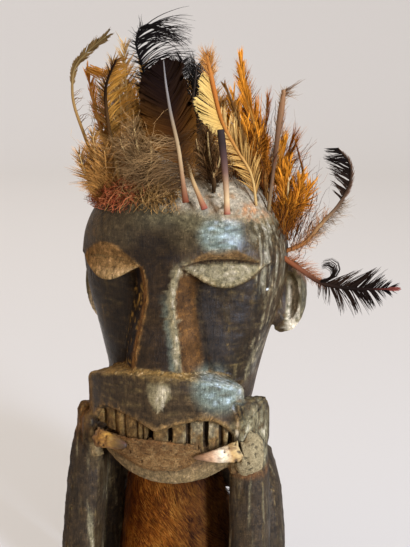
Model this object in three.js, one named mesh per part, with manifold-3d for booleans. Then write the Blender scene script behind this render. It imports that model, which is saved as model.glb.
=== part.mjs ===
// A carved wooden figure with feathers on its crown, cut flat below the shoulders as a bust.
// Millimetres, +Z up. The face looks along -Y, and +X is the figure's own left, on the right of a
// viewer who stands before it. The origin lies on the flat underside, straight below the middle of
// the head.

import * as THREE from 'three';
import { mergeVertices } from 'three/addons/utils/BufferGeometryUtils.js';
import Module from 'manifold-3d';

const wasm = await Module();
wasm.setup();

// Clearance between pieces that touch
const gap = 0.3;

// Head: rows of height, half width, reach to the front, reach to the back
const headRows = [
  [90, 22, 20, 24],
  [102, 34, 33, 29],
  [120, 41, 44, 34],
  [138, 44.5, 52, 39],
  [158, 49.3, 57, 45],
  [180, 55.5, 54, 51],
  [200, 60.8, 49.5, 56],
  [217, 63.3, 47.5, 59],
  [232, 61.8, 49, 59],
  [246, 56, 46, 55],
  [258, 46.5, 38.5, 47],
  [267, 33, 27.5, 35],
  [272, 17, 14, 18],
  [273.4, 1.5, 1.2, 1.6],
];
const headPower = 2.35;
const headColumns = 30;
const headLevels = 16;
const crownFromZ = 200;

// A distance well outside the head, for cuts that come in from the open
const wellOutside = 95;

// Hollowed cheeks: rows of height and reach to the front, the heights they run between, and how far
// their curve passes the side of the head
const cheekRows = [
  [140, 39],
  [160, 39],
  [180, 38],
  [200, 36.5],
  [222, 35.5],
];
const cheek = { lowZ: 144, openZ: 147, highZ: 221, spill: 1.6 };

// Nose ridge: rows of height and half width of its flat front
const noseRows = [
  [150, 14.2],
  [158, 13.8],
  [168, 12.7],
  [178, 11],
  [189, 9],
  [199, 7.7],
  [207, 8.2],
  [222, 12],
];
const noseBevel = { run: 10.5, depth: 13.5 };

// Eyes: an almond on each side of the nose, cut in from the brow and from the lower lid
const eye = { innerX: 11.5, outerX: 56, cornerZ: 218.5, rise: 12.5, drop: 10.5, creaseRise: 3 };
const eyeDepth = { left: 5.6, right: 3.4 };

// Mouth: the lips lie on one circle in plan
const lipRadius = 75.7;
const lipCentreY = 15.7;
const muzzle = { halfWidth: 48.8, topZ: 159, endDrop: 9, depth: 20, keel: 1.8, keelWidth: 12 };
const lipArch = {
  left: { apexX: 29.5, apexZ: 131, cornerX: 46.5 },
  right: { apexX: 32.5, apexZ: 133, cornerX: 46.5 },
};
const lipDipZ = 123;
const lipCornerZ = 117.5;
const jaw = { halfWidth: 46.5, lowZ: 88.5, endRise: 14, topZ: 117, topFall: 5, setBack: 3.5, bevel: 6 };
const mouth = { depth: 11, backY: 32, topZ: 145 };

// Wooden teeth: from x, to x, lower end
const woodenTeeth = [
  [-46, -39.2, 119],
  [-37.6, -30.3, 117.5],
  [-28.7, -23.3, 116.5],
  [-21.9, -14.4, 116],
  [-12.9, -10.2, 115],
  [-9, -7, 114.5],
  [-3.4, 7.1, 114.5],
  [9.1, 17.7, 113.5],
  [19.9, 28.3, 112.6],
  [30.5, 37, 113],
  [38.8, 41.9, 114],
  [43.5, 45.8, 115],
];
const toothFace = { middle: -3.2, edge: -4.2 };

// Limbs and body: rows of height, centre x, centre y, half width, half depth
const torsoRows = [
  [0, -5, -4, 35, 31],
  [28, -5, -4, 33.3, 29.5],
  [56, -4.5, -3, 30.5, 28],
  [84, -3, -1, 28, 27],
  [112, 0, 1, 27, 26],
];
const forearmLeftRows = [
  [0, 51.5, -33, 13, 14.5],
  [40, 50.6, -32.5, 12.8, 14],
  [80, 49.6, -31.5, 12.4, 13.2],
  [100, 49.5, -30.5, 11.6, 13],
  [116, 49.5, -29, 9.6, 12],
];
const forearmRightRows = [
  [0, -61, -33, 13, 14.5],
  [40, -58.6, -33, 12.8, 14],
  [80, -54.8, -32, 12.2, 13.2],
  [100, -53, -30.5, 11.4, 13],
  [112, -52, -29, 9.6, 12],
];
const upperArmLeftRows = [
  [0, 53.5, 4, 13, 15],
  [35, 52.5, 5, 12.8, 15],
  [65, 49, 8, 12.4, 15.5],
  [88, 42.5, 11, 11.6, 15],
  [101, 35, 13, 5, 6],
];
const upperArmRightRows = [
  [0, -56, 4, 13, 15],
  [35, -54.5, 5, 12.8, 15],
  [65, -52, 8, 12.6, 15.5],
  [88, -47, 11, 12, 15],
  [101, -38, 13, 5, 6],
];

// Shoulders: rows of x, middle height, half depth, half height
const shoulderRows = [
  [-54, 74, 11, 13],
  [-42, 79, 16.5, 19],
  [-22, 84, 18.5, 20],
  [0, 86, 18.5, 20],
  [20, 84, 18.5, 20],
  [40, 79, 16.5, 19],
  [52, 74, 11, 13],
];
const shoulderY = 11;
const shoulderSides = 10;
const armSides = 10;
const forearmPower = 2.8;
const upperArmPower = 2.6;
const torsoColumns = 18;
const torsoPower = 2.2;

// Fingers laid against the sides of the jaw: x, y, tip height; all start at the wrist
const wristZ = 96;
const fingerRadius = 5.4;
const fingerSides = 6;
const fingerTip = 0.72;
const fingersLeft = [[46.6, -42.6, 141], [51.2, -37, 142], [53.8, -29.8, 140.5], [54.4, -22, 137]];
const fingersRight = [[-48.2, -41.4, 125], [-53.2, -36, 127.5], [-57, -29.4, 126], [-58, -21.6, 121]];

// Ears: outline in front view, from the side of the head outwards
const ear = { attachX: 54, outX: 73, midZ: 190.5, halfHeight: 23, frontY: 13, thickness: 9 };
const earScoop = { radii: [7, 7.5, 16.5], fromRim: 10.5, lift: 1 };

// Small drilled holes in the crown
const drill = { radius: 1.3, length: 14, aimZ: 215 };
const drillHoles = [[42, -22, 260], [41, -31, 255], [54, -17, 244], [59, -8, 240], [34, -26, 261]];

// Hide wrapped round the torso, higher in front; its top edge slopes between the two y values
const hide = { thickness: 2.6, lowZ: 2, frontTopZ: 86, backTopZ: 58, frontY: -18, backY: -2 };

// Animal teeth: tip, middle and root on their centre lines, half height and half depth at the root
const toothSides = 8;
const animalTeeth = {
  left: { path: [[22, -56, 109.2], [34, -53.4, 110.4], [47.5, -47, 112.6]], high: 6.8, deep: 4.6 },
  right: { path: [[-18.5, -57.6, 112.6], [-30, -54.6, 113.2], [-42, -48.6, 115.4]], high: 6.9, deep: 4.6 },
};

// Clay over the left hand and paste at the right mouth corner: centre, radii, a phase that makes each
// lump its own shape, and how finely it is divided
const clayLump = { centre: [50.5, -42.5, 110], radii: [10.5, 7.8, 15.5], phase: 0.4, detail: 1 };
const pasteLumps = [
  { centre: [-51, -39.5, 117], radii: [8.8, 7.4, 18.5], phase: 1.9, detail: 1 },
  { centre: [-47.5, -43, 104], radii: [4.6, 4, 8], phase: 3.1, detail: 1 },
  { centre: [-44, -37, 128.5], radii: [7, 5.2, 7.5], phase: 0.9, detail: 1 },
];
const pasteCrust = { fromX: -45, toX: 27, thickness: 2.8, lift: 9.5, endLift: 6, endFrom: 0.8 };

// Feathers that stand alone: their shaft's points from the crown to the tip, its radius, and the
// width of the vane on each side at equal steps along it
const feathers = {
  feather_large_dark: {
    path: [[15, -46, 256], [13, -45, 268], [10, -43, 285], [4, -39, 306], [0, -35, 323], [-2, -32, 333]],
    shaft: 1.6, left: [0, 0, 3, 12, 16, 17, 16, 12, 2],
    right: [0, 0, 4, 12, 16, 17, 16, 10, 1],
    look: 'darkFeather',
  },
  quill_black: {
    path: [[38, -43, 250], [37.5, -43, 262], [36, -42, 277], [33, -39, 296]],
    shaft: 1.9, left: [0, 0, 0.4], right: [0, 0, 0.4], look: 'darkFeather',
  },
  quill_stub: {
    path: [[26, -46.5, 253], [22, -44, 260], [17.5, -41, 268], [13, -36, 277]],
    shaft: 1.5, left: [0, 0.3, 1], right: [0, 0.3, 1], look: 'quill',
  },
  feather_long_curved: {
    path: [[-42, -20, 250], [-47, -20, 268], [-56, -20, 290], [-63, -20, 315], [-61, -20, 329],
      [-52, -20, 339], [-41, -20, 347]],
    shaft: 1.2, left: [0, 0.3, 0.3, 0.3, 0.8, 2, 2.4, 0.4],
    right: [0, 0.3, 0.3, 0.5, 1, 2, 2.4, 0.4],
    look: 'quill',
  },
  feather_orange_left: {
    path: [[-40, -11, 253], [-43, -12, 270], [-48, -12, 290], [-54, -12, 314], [-57, -12, 330]],
    shaft: 1.2, left: [0, 1, 4, 5, 5, 2, 0.3], right: [0, 3, 7, 8, 8, 5, 0.3], look: 'orangeFeather',
  },
  feather_dark_shaft: {
    path: [[-28, -31, 254], [-31, -31, 272], [-37, -29, 298], [-38, -28, 320], [-32, -27, 334]],
    shaft: 1.3, left: [0, 1, 3, 4, 4, 3, 0.3], right: [0, 2, 6, 10, 12, 9, 1], look: 'orangeFeather',
  },
  plume_black: {
    path: [[-14, -8, 266], [-18, -8, 292], [-25, -7, 320], [-23, -6, 339], [-12, -5, 352], [4, -5, 358]],
    shaft: 1.3, left: [0, 0, 1, 3, 5, 4, 3, 2, 0.3],
    right: [0, 0, 2, 6, 11, 13, 13, 11, 3],
    look: 'darkFeather',
  },
  feather_grey_down: {
    path: [[4, -12, 268], [8, -13, 300], [12, -13, 331]],
    shaft: 1.2, left: [0, 2, 5, 7, 7, 2], right: [0, 2, 4, 6, 7, 2], look: 'darkFeather',
  },
  feather_yellow: {
    path: [[49, -19, 252], [46, -20, 270], [37, -21, 285], [29, -22, 300], [25, -23, 316],
      [21, -24, 336]],
    shaft: 1.4, left: [0, 0, 1, 3, 8, 12, 11, 8, 3],
    right: [0, 1, 3, 6, 7, 5, 3, 4, 2],
    look: 'paleFeather',
  },
  feather_orange_upright: {
    path: [[51, 2, 250], [48, 2, 275], [42, 2, 298], [36, 2, 318], [34, 2, 333]],
    shaft: 1.2, left: [0, 1, 3, 4, 4, 3, 1], right: [0, 1, 4, 6, 6, 3, 1], look: 'orangeFeather',
  },
  feather_brown_blade: {
    path: [[45, -9, 254], [42, -9, 275], [36, -9, 298], [27, -9, 320]],
    shaft: 1.1, left: [0, 1, 2, 2, 0.3], right: [0, 1, 3, 3, 0.3], look: 'quill',
  },
  quill_frayed: {
    path: [[54, -9, 248], [56, -8, 268], [58, -6, 290], [61, -4, 317]],
    shaft: 1.5, left: [0, 0, 0.4, 1], right: [0, 0, 0.4, 1], look: 'quill',
  },
  feather_orange_side: {
    path: [[61, 13, 227], [60, 13, 245], [57, 13, 265], [57, 13, 284]],
    shaft: 1.2, left: [0, 3, 6, 7, 6, 1], right: [0, 3, 5, 6, 5, 1], look: 'orangeFeather',
  },
  feather_narrow_side: {
    path: [[59, 20, 229], [66, 21, 245], [69, 21, 263], [64, 21, 285]],
    shaft: 1.1, left: [0, 1, 2.4, 2.4, 0.3], right: [0, 1, 2.4, 2.4, 0.3], look: 'orangeFeather',
  },
  feather_side_raised: {
    path: [[61, 6, 221], [72, 9, 226], [82, 12, 238], [92, 14, 250], [98, 15, 264], [97, 15, 274],
      [90, 15, 283]],
    shaft: 1.3, left: [0, 1, 1.5, 1.5, 5, 8, 7, 0.5],
    right: [0, 1, 1.5, 1.5, 3, 4, 3, 0.5],
    look: 'darkFeather',
  },
  feather_side_low: {
    path: [[61, 0, 219], [72, 3, 211], [84, 8, 202.5], [98, 10, 200], [113, 11, 200], [129, 12, 201]],
    shaft: 1.3,
    left: [0, 1, 2, 9, 12, 11, 6, 0.5],
    right: [0, 1, 2, 9, 11, 9, 5, 0.5],
    look: 'darkFeather',
  },
  feather_back_dark: {
    path: [[-14, 34, 258], [-18, 38, 285], [-20, 41, 310], [-14, 42, 334]],
    shaft: 1.4, left: [0, 2, 9, 12, 11, 1], right: [0, 2, 9, 12, 11, 1], look: 'darkFeather',
  },
  feather_back_orange: {
    path: [[22, 32, 258], [27, 37, 283], [29, 40, 306], [24, 41, 330]],
    shaft: 1.3, left: [0, 2, 7, 9, 8, 1], right: [0, 2, 7, 9, 8, 1], look: 'orangeFeather',
  },
};
const featherSteps = 6;

// Tufts of small feathers: one root on the crown, the tips that its blades reach, and the half width
// of a blade
const tufts = {
  tuft_cream_left: {
    root: [-34, 0, 262], width: 4, look: 'paleFeather',
    tips: [[-37, -1, 343], [-46, 3, 334], [-27, 4, 330]],
  },
  tuft_brown_left: {
    root: [-40, -28, 246], width: 4.5, look: 'orangeFeather',
    tips: [[-56, -29, 280], [-46, -31, 292], [-37, -36, 283]],
  },
  tuft_brown_front: {
    root: [-10, -39, 258], width: 5, look: 'orangeFeather',
    tips: [[-25, -42, 290], [-16, -44, 300], [-5, -46, 290]],
  },
  tuft_cream_middle: {
    root: [27, -31, 260], width: 3.6, look: 'paleFeather',
    tips: [[16, -29, 296], [23, -30, 306], [31, -32, 286]],
  },
  tuft_orange_right: {
    root: [41.4, -1.7, 263], width: 3.8, look: 'orangeFeather',
    tips: [[25, -1, 303], [31, -3.4, 314], [35.6, -2, 295]],
  },
  tuft_orange_ear: {
    root: [61, 3, 232], width: 4, look: 'orangeFeather',
    tips: [[64, 0, 273], [70, 2, 266]],
  },
  tuft_back_left: {
    root: [-40, 22, 252], width: 5, look: 'orangeFeather',
    tips: [[-56, 26, 300], [-45, 31, 318], [-32, 31, 306]],
  },
  tuft_back_middle: {
    root: [3, 30, 264], width: 5, look: 'paleFeather',
    tips: [[-4, 33, 318], [6, 34, 328], [15, 31, 308]],
  },
  tuft_back_right: {
    root: [44, 20, 252], width: 5, look: 'orangeFeather',
    tips: [[44, 30, 312], [54, 28, 302], [62, 30, 284]],
  },
};
const tuftStem = 12;
const tuftBow = 0.25;
const bladeSteps = 4;
const bladeShaft = 0.9;
const bladeShape = [0.4, 0.9, 1, 0.8, 0.1];

// Mat of tangled fibres on the left front of the crown: its outline in plan and its height
const tangle = {
  height: 4,
  ripple: 0.35,
  lowZ: 228,
  depth: 60,
  middle: [-28, -20],
  outline: [[-52, 6], [-53, -8], [-49, -20], [-40, -31], [-27, -38.5], [-12, -42.5], [-3, -41], [-8, -31],
    [-20, -24], [-31, -15], [-38, -2], [-45, 6]],
};

const looks = {
  wood: { color: '#453829', roughness: 0.5, metalness: 0 },
  hide: { color: '#7a4520', roughness: 0.9, metalness: 0 },
  tooth: { color: '#c9a06a', roughness: 0.45, metalness: 0 },
  paste: { color: '#8a7555', roughness: 0.95, metalness: 0 },
  clay: { color: '#9c9379', roughness: 0.95, metalness: 0 },
  fibre: { color: '#8a4a30', roughness: 0.95, metalness: 0 },
  darkFeather: { color: '#241812', roughness: 0.6, metalness: 0 },
  orangeFeather: { color: '#b06a2c', roughness: 0.7, metalness: 0 },
  paleFeather: { color: '#cfa468', roughness: 0.7, metalness: 0 },
  quill: { color: '#8c6a4c', roughness: 0.45, metalness: 0 },
};

const figure = new THREE.Group();

// Between two values
const mix = (from, to, share) => from + (to - from) * share;

// A smooth run of values through the rows of a table, with place 0 at its first row and 1 at its last
function smoothRow(rows, place) {
  const spot = place * (rows.length - 1);
  const first = Math.min(Math.floor(spot), rows.length - 2);
  const f = spot - first;
  const row = (k) => rows[Math.max(0, Math.min(rows.length - 1, k))];
  return rows[0].map((_, c) => {
    const before = row(first - 1)[c];
    const from = row(first)[c];
    const to = row(first + 1)[c];
    const after = row(first + 2)[c];
    const bend = 2 * before - 5 * from + 4 * to - after;
    const twist = 3 * (from - to) + after - before;
    return from + 0.5 * f * (to - before + f * (bend + f * twist));
  });
}

// The row of a table at one height, with the heights in its first column
function rowAtHeight(rows, height) {
  let low = 0;
  let high = 1;
  for (let step = 0; step < 40; step++) {
    const middle = (low + high) / 2;
    if (smoothRow(rows, middle)[0] < height) low = middle;
    else high = middle;
  }
  return smoothRow(rows, (low + high) / 2);
}

// A value read along a short list of equally spaced values
function readList(list, share) {
  const spot = share * (list.length - 1);
  const first = Math.min(Math.floor(spot), list.length - 2);
  return mix(list[first], list[first + 1], spot - first);
}

// A closed skin through rings of points, with a fan over each end
function skin(rings) {
  const count = rings[0].length;
  const positions = [];
  for (const ring of rings) {
    for (const point of ring) positions.push(point.x, point.y, point.z);
  }
  const triangles = [];
  for (let r = 0; r < rings.length - 1; r++) {
    for (let i = 0; i < count; i++) {
      const a = r * count + i;
      const b = r * count + ((i + 1) % count);
      triangles.push([a, b, b + count], [a, b + count, a + count]);
    }
  }
  for (const [end, turn] of [[0, true], [rings.length - 1, false]]) {
    const centre = new THREE.Vector3();
    for (const point of rings[end]) centre.addScaledVector(point, 1 / count);
    const middle = positions.length / 3;
    positions.push(centre.x, centre.y, centre.z);
    for (let i = 0; i < count; i++) {
      const a = end * count + i;
      const b = end * count + ((i + 1) % count);
      triangles.push(turn ? [middle, b, a] : [middle, a, b]);
    }
  }
  const geometry = new THREE.BufferGeometry();
  geometry.setAttribute('position', new THREE.Float32BufferAttribute(positions, 3));
  geometry.setIndex(triangles.flat());
  return geometry;
}

// Six times the volume inside a closed geometry, negative if its faces point in
function signedVolume(position, index) {
  const [a, b, c] = [new THREE.Vector3(), new THREE.Vector3(), new THREE.Vector3()];
  let volume = 0;
  for (let i = 0; i < index.length; i += 3) {
    a.fromBufferAttribute(position, index[i]);
    b.fromBufferAttribute(position, index[i + 1]);
    c.fromBufferAttribute(position, index[i + 2]);
    volume += a.dot(b.cross(c));
  }
  return volume;
}

// A closed geometry as a solid that can be joined and cut
function solid(geometry) {
  const plain = geometry.clone();
  plain.deleteAttribute('normal');
  plain.deleteAttribute('uv');
  const merged = mergeVertices(plain, 1e-4);
  const position = merged.attributes.position;
  const index = merged.index.array;
  const faceOut = signedVolume(position, index) > 0;
  const triangles = [];
  for (let i = 0; i < index.length; i += 3) {
    const [a, b, c] = [index[i], index[i + 1], index[i + 2]];
    if (a === b || b === c || a === c) continue;
    if (faceOut) triangles.push(a, b, c);
    else triangles.push(a, c, b);
  }
  const vertProperties = new Float32Array(position.array);
  const triVerts = new Uint32Array(triangles);
  return new wasm.Manifold(new wasm.Mesh({ numProp: 3, vertProperties, triVerts }));
}

const joinAll = (solids) => solids.reduce((whole, part) => whole.add(part));

// The largest separate body of a solid, so that no loose chip stays beside it
function largestBody(body) {
  const { vertProperties, triVerts, numProp } = body.getMesh();
  const leader = Array.from({ length: vertProperties.length / numProp }, (_, v) => v);
  const find = (v) => {
    while (leader[v] !== v) v = leader[v];
    return v;
  };
  for (let t = 0; t < triVerts.length; t += 3) {
    leader[find(triVerts[t + 1])] = find(triVerts[t]);
    leader[find(triVerts[t + 2])] = find(triVerts[t]);
  }
  const counts = new Map();
  for (const v of triVerts) counts.set(find(v), (counts.get(find(v)) ?? 0) + 1);
  if (counts.size === 1) return body;
  const [largest] = [...counts.entries()].sort((a, b) => b[1] - a[1])[0];
  const kept = [];
  for (let t = 0; t < triVerts.length; t += 3) {
    if (find(triVerts[t]) === largest) kept.push(...triVerts.slice(t, t + 3));
  }
  const keptVerts = new Uint32Array(kept);
  return new wasm.Manifold(new wasm.Mesh({ numProp, vertProperties, triVerts: keptVerts }));
}

function addPiece(name, body, look) {
  const { vertProperties, triVerts, numProp } = body.getMesh();
  const geometry = new THREE.BufferGeometry();
  const vertexCount = vertProperties.length / numProp;
  const positions = new Float32Array(vertexCount * 3);
  for (let v = 0; v < vertexCount; v++) {
    for (let axis = 0; axis < 3; axis++) positions[v * 3 + axis] = vertProperties[v * numProp + axis];
  }
  geometry.setAttribute('position', new THREE.BufferAttribute(positions, 3));
  geometry.setIndex(Array.from(triVerts));
  geometry.computeVertexNormals();
  const mesh = new THREE.Mesh(geometry, new THREE.MeshStandardMaterial(look));
  mesh.name = name;
  figure.add(mesh);
}

const signedPower = (value, power) => Math.sign(value) * Math.abs(value) ** power;

// A level ring of rounded-square shape; front is its reach along -Y and back along +Y
function levelRing(x, y, z, halfWidth, front, back, count, power) {
  const ring = [];
  for (let i = 0; i < count; i++) {
    const angle = (2 * Math.PI * i) / count;
    const across = signedPower(Math.cos(angle), 2 / power);
    const along = signedPower(Math.sin(angle), 2 / power);
    ring.push(new THREE.Vector3(x + halfWidth * across, y + (along < 0 ? front : back) * along, z));
  }
  return ring;
}

// The head as one smooth block; grow makes it that much larger all round
function headBlock(grow = 0, ripple = 0) {
  const stretch = 1 + grow / (headRows.at(-1)[0] - crownFromZ);
  const rings = [];
  for (let level = 0; level <= headLevels; level++) {
    const [z, halfWidth, front, back] = smoothRow(headRows, level / headLevels);
    const add = grow * (1 + ripple * Math.sin(level * 2.3));
    const height = z > crownFromZ ? crownFromZ + (z - crownFromZ) * stretch : z;
    rings.push(levelRing(0, 0, height, halfWidth + add, front + add, back + add, headColumns, headPower));
  }
  return solid(skin(rings));
}

// Depth of the head's front at a place in front view, as a y coordinate
function headFrontY(x, z) {
  const [, halfWidth, front] = rowAtHeight(headRows, z);
  const across = Math.min(0.999, Math.abs(x) / halfWidth) ** headPower;
  return -front * (1 - across) ** (1 / headPower);
}

// One eye's outline: heights of its upper edge, its crease and its lower edge at a share of its length
function eyeHeights(share) {
  return {
    top: eye.cornerZ + eye.rise * Math.sin(Math.PI * share ** 1.1),
    crease: eye.cornerZ + eye.creaseRise * Math.sin(Math.PI * share),
    bottom: eye.cornerZ - eye.drop * Math.sin(Math.PI * share ** 1.25),
  };
}

// The grooved almond cut of one eye: in from the brow to a crease, then out to the lower lid
function eyeCut(side, depth) {
  const rings = [];
  const steps = 11;
  const reach = 1.8;
  for (let i = 0; i <= steps; i++) {
    const share = mix(0.015, 0.985, i / steps);
    const x = side * mix(eye.innerX, eye.outerX, share);
    const { top, crease, bottom } = eyeHeights(share);
    const creaseY = headFrontY(x, crease) + depth * Math.sin(Math.PI * share) ** 0.7;
    const deep = new THREE.Vector3(x, creaseY, crease);
    const upper = new THREE.Vector3(x, headFrontY(x, top), top);
    const lower = new THREE.Vector3(x, headFrontY(x, bottom), bottom);
    rings.push([deep.clone().lerp(upper, reach), deep, deep.clone().lerp(lower, reach)]);
  }
  return solid(skin(rings));
}

// A prism with its outline in front view, [x, z], running from one y to another
function frontPrism(outline, fromY, toY) {
  const shape = new THREE.Shape(outline.map(([x, z]) => new THREE.Vector2(x, z)));
  const geometry = new THREE.ExtrudeGeometry(shape, { depth: toY - fromY, bevelEnabled: false });
  geometry.rotateX(Math.PI / 2);
  geometry.translate(0, toY, 0);
  return solid(geometry);
}

// What is taken away beside the nose: bounded by the nose's bevelled side, the curve of the hollowed
// cheek, and the lower lid
function cheekCut(side) {
  const rings = [];
  const levels = 9;
  const curvePoints = 7;
  for (let level = 0; level <= levels; level++) {
    const z = mix(cheek.lowZ, cheek.highZ, level / levels);
    const edgeX = rowAtHeight(noseRows, z)[1];
    const edgeY = headFrontY(edgeX, z);
    const reach = rowAtHeight(cheekRows, z)[1];
    const halfWidth = rowAtHeight(headRows, z)[1] + cheek.spill;
    const plan = [
      [edgeX, -wellOutside],
      [edgeX, edgeY],
      [edgeX + noseBevel.run, edgeY + noseBevel.depth],
    ];
    const startAngle = Math.acos(((edgeX + noseBevel.run + 1.5) / halfWidth) ** (headPower / 2));
    for (let i = 0; i < curvePoints; i++) {
      const angle = mix(startAngle, 0, i / (curvePoints - 1));
      const across = signedPower(Math.cos(angle), 2 / headPower);
      plan.push([halfWidth * across, -reach * signedPower(Math.sin(angle), 2 / headPower)]);
    }
    plan.push([wellOutside, 0], [wellOutside, -wellOutside]);
    rings.push(plan.map(([x, y]) => new THREE.Vector3(side * x, y, z)));
  }
  const outline = [
    [side * 5, cheek.openZ],
    [side * 5, eye.cornerZ],
    [side * eye.innerX, eye.cornerZ],
  ];
  const lidPoints = 10;
  for (let i = 1; i <= lidPoints; i++) {
    const share = i / lidPoints;
    outline.push([side * mix(eye.innerX, eye.outerX, share), eyeHeights(share).bottom]);
  }
  outline.push([side * (wellOutside - 1), eye.cornerZ + 1], [side * (wellOutside - 1), cheek.openZ]);
  return solid(skin(rings)).intersect(frontPrism(outline, -wellOutside - 5, 40));
}

// A bar bent round the lips: each section is a list of [out, z], with out measured from the lip circle;
// grow makes it that much larger all round
function mouthBar(fromX, toX, steps, grow, sectionAt) {
  const rings = [];
  for (let i = 0; i <= steps; i++) {
    const x = mix(fromX, toX, i / steps);
    const angle = Math.asin((x + Math.sign(i / steps - 0.5) * grow) / lipRadius);
    const section = sectionAt(x);
    const middleOut = section.reduce((sum, point) => sum + point[0], 0) / section.length;
    const middleZ = section.reduce((sum, point) => sum + point[1], 0) / section.length;
    rings.push(section.map(([out, height]) => {
      const reach = lipRadius + out + Math.sign(out - middleOut) * grow;
      const z = height + Math.sign(height - middleZ) * grow;
      return new THREE.Vector3(reach * Math.sin(angle), lipCentreY - reach * Math.cos(angle), z);
    }));
  }
  return solid(skin(rings));
}

// The lower edge of the upper lip: a dip in the middle and an arch on each side
function lipLine(x) {
  const arch = x > 0 ? lipArch.left : lipArch.right;
  const distance = Math.abs(x);
  if (distance < arch.apexX) {
    return lipDipZ + (arch.apexZ - lipDipZ) * Math.sin((Math.PI / 2) * (distance / arch.apexX));
  }
  const share = Math.min(1, (distance - arch.apexX) / (arch.cornerX - arch.apexX));
  return lipCornerZ + (arch.apexZ - lipCornerZ) * Math.cos((Math.PI / 2) * share);
}

// The broad upper lip, a bent slab with a level top, a keel in the middle and an arched lower edge
function upperLip(grow = 0) {
  return mouthBar(-muzzle.halfWidth, muzzle.halfWidth, 18, grow, (x) => {
    const ridge = muzzle.keel * Math.max(0, 1 - Math.abs(x) / muzzle.keelWidth);
    const low = lipLine(x);
    const top = muzzle.topZ - muzzle.endDrop * (x / muzzle.halfWidth) ** 2;
    return [
      [-muzzle.depth, low + 3],
      [-1.6, low],
      [ridge, low + 2],
      [Math.min(ridge, 0.7), top - 1.6],
      [-1.8, top],
      [-muzzle.depth, top + 1],
    ];
  });
}

const jawLowZ = (x) => jaw.lowZ + jaw.endRise * (Math.abs(x - 3) / jaw.halfWidth) ** 2;
const jawTopZ = (x) => jaw.topZ - jaw.topFall * (x / jaw.halfWidth) ** 2;

// The lower jaw, a crescent with a bevel along its lower edge
function lowerJaw(grow = 0) {
  return mouthBar(-jaw.halfWidth, jaw.halfWidth, 14, grow, (x) => {
    const low = jawLowZ(x);
    const top = jawTopZ(x);
    const bevel = Math.min(jaw.bevel, (top - low) / 2);
    return [
      [-24, low + 5],
      [-jaw.setBack - 3.5, low],
      [-jaw.setBack, low + bevel],
      [-jaw.setBack, top - 1],
      [-jaw.setBack - 1.5, top],
      [-24, top],
    ];
  });
}

// The wood behind the teeth
function mouthBack(grow = 0) {
  const inset = 1;
  return mouthBar(inset - jaw.halfWidth, jaw.halfWidth - inset, 6, grow, (x) => {
    const low = jawLowZ(x) + 5;
    const { depth, backY, topZ } = mouth;
    return [[-backY, low], [-depth, low], [-depth, topZ], [-backY, topZ]];
  });
}

function woodenTooth([fromX, toX, lowZ], grow = 0) {
  const middle = (fromX + toX) / 2;
  return mouthBar(fromX, toX, 2, grow, (x) => {
    const face = x === middle ? toothFace.middle : toothFace.edge;
    const top = lipLine(x) + 6;
    const back = -mouth.depth - 2;
    return [[back, lowZ], [face - 0.6, lowZ], [face, lowZ + 1.5], [face, top], [back, top]];
  });
}

// A limb that stands roughly upright: rows of height, centre x, centre y, half width, half depth
function limb(rows, count, power, grow = 0) {
  const rings = [];
  const levels = rows.length - 1;
  for (let level = 0; level <= levels; level++) {
    const [z, x, y, halfWidth, halfDepth] = smoothRow(rows, level / levels);
    const height = z + (level === levels ? grow : 0) - (level === 0 ? grow : 0);
    const depth = halfDepth + grow;
    rings.push(levelRing(x, y, height, halfWidth + grow, depth, depth, count, power));
  }
  return solid(skin(rings));
}

function finger([x, y, tipZ], grow = 0) {
  const leanIn = 0.94;
  return limb([
    [wristZ, x * leanIn, y * leanIn, fingerRadius * 0.9, fingerRadius * 0.9],
    [mix(wristZ, tipZ, 0.4), x, y, fingerRadius, fingerRadius],
    [mix(wristZ, tipZ, 0.85), x, y, fingerRadius * 0.94, fingerRadius * 0.94],
    [tipZ, x * 0.985, y * 0.985, fingerRadius * fingerTip, fingerRadius * fingerTip],
  ], fingerSides, 2.4, grow);
}

// The shoulders, a rounded bar across the back of the torso
function shoulders() {
  const rings = shoulderRows.map(([x, z, halfDepth, halfHeight]) => {
    const ring = [];
    for (let i = 0; i < shoulderSides; i++) {
      const angle = (2 * Math.PI * i) / shoulderSides;
      const y = shoulderY + halfDepth * signedPower(Math.cos(angle), 0.85);
      ring.push(new THREE.Vector3(x, y, z + halfHeight * signedPower(Math.sin(angle), 0.85)));
    }
    return ring;
  });
  return solid(skin(rings));
}

// An ear: a D-shaped plate standing out from the head, hollowed in front so that a rim is left
function earPlate(side) {
  const outline = [[side * ear.attachX, ear.midZ + ear.halfHeight - 2]];
  const points = 8;
  for (let i = 0; i <= points; i++) {
    const angle = Math.PI * (0.5 - i / points);
    const out = mix(ear.attachX + 4, ear.outX, Math.cos(angle) ** 0.7);
    outline.push([side * out, ear.midZ + ear.halfHeight * Math.sin(angle) + 2 * Math.cos(angle)]);
  }
  outline.push([side * ear.attachX, ear.midZ - ear.halfHeight + 2]);
  const plate = frontPrism(outline, ear.frontY, ear.frontY + ear.thickness);
  const scoop = new THREE.SphereGeometry(1, 10, 6);
  scoop.scale(...earScoop.radii);
  scoop.translate(side * (ear.outX - earScoop.fromRim), ear.frontY - 0.5, ear.midZ + earScoop.lift);
  return plate.subtract(solid(scoop));
}

function drillHole([x, y, z]) {
  const bit = new THREE.CylinderGeometry(drill.radius, drill.radius, drill.length, 7);
  const outwards = new THREE.Vector3(x, y, z - drill.aimZ).normalize();
  bit.applyQuaternion(new THREE.Quaternion().setFromUnitVectors(new THREE.Vector3(0, 1, 0), outwards));
  bit.translate(x, y, z);
  return solid(bit);
}

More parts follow.
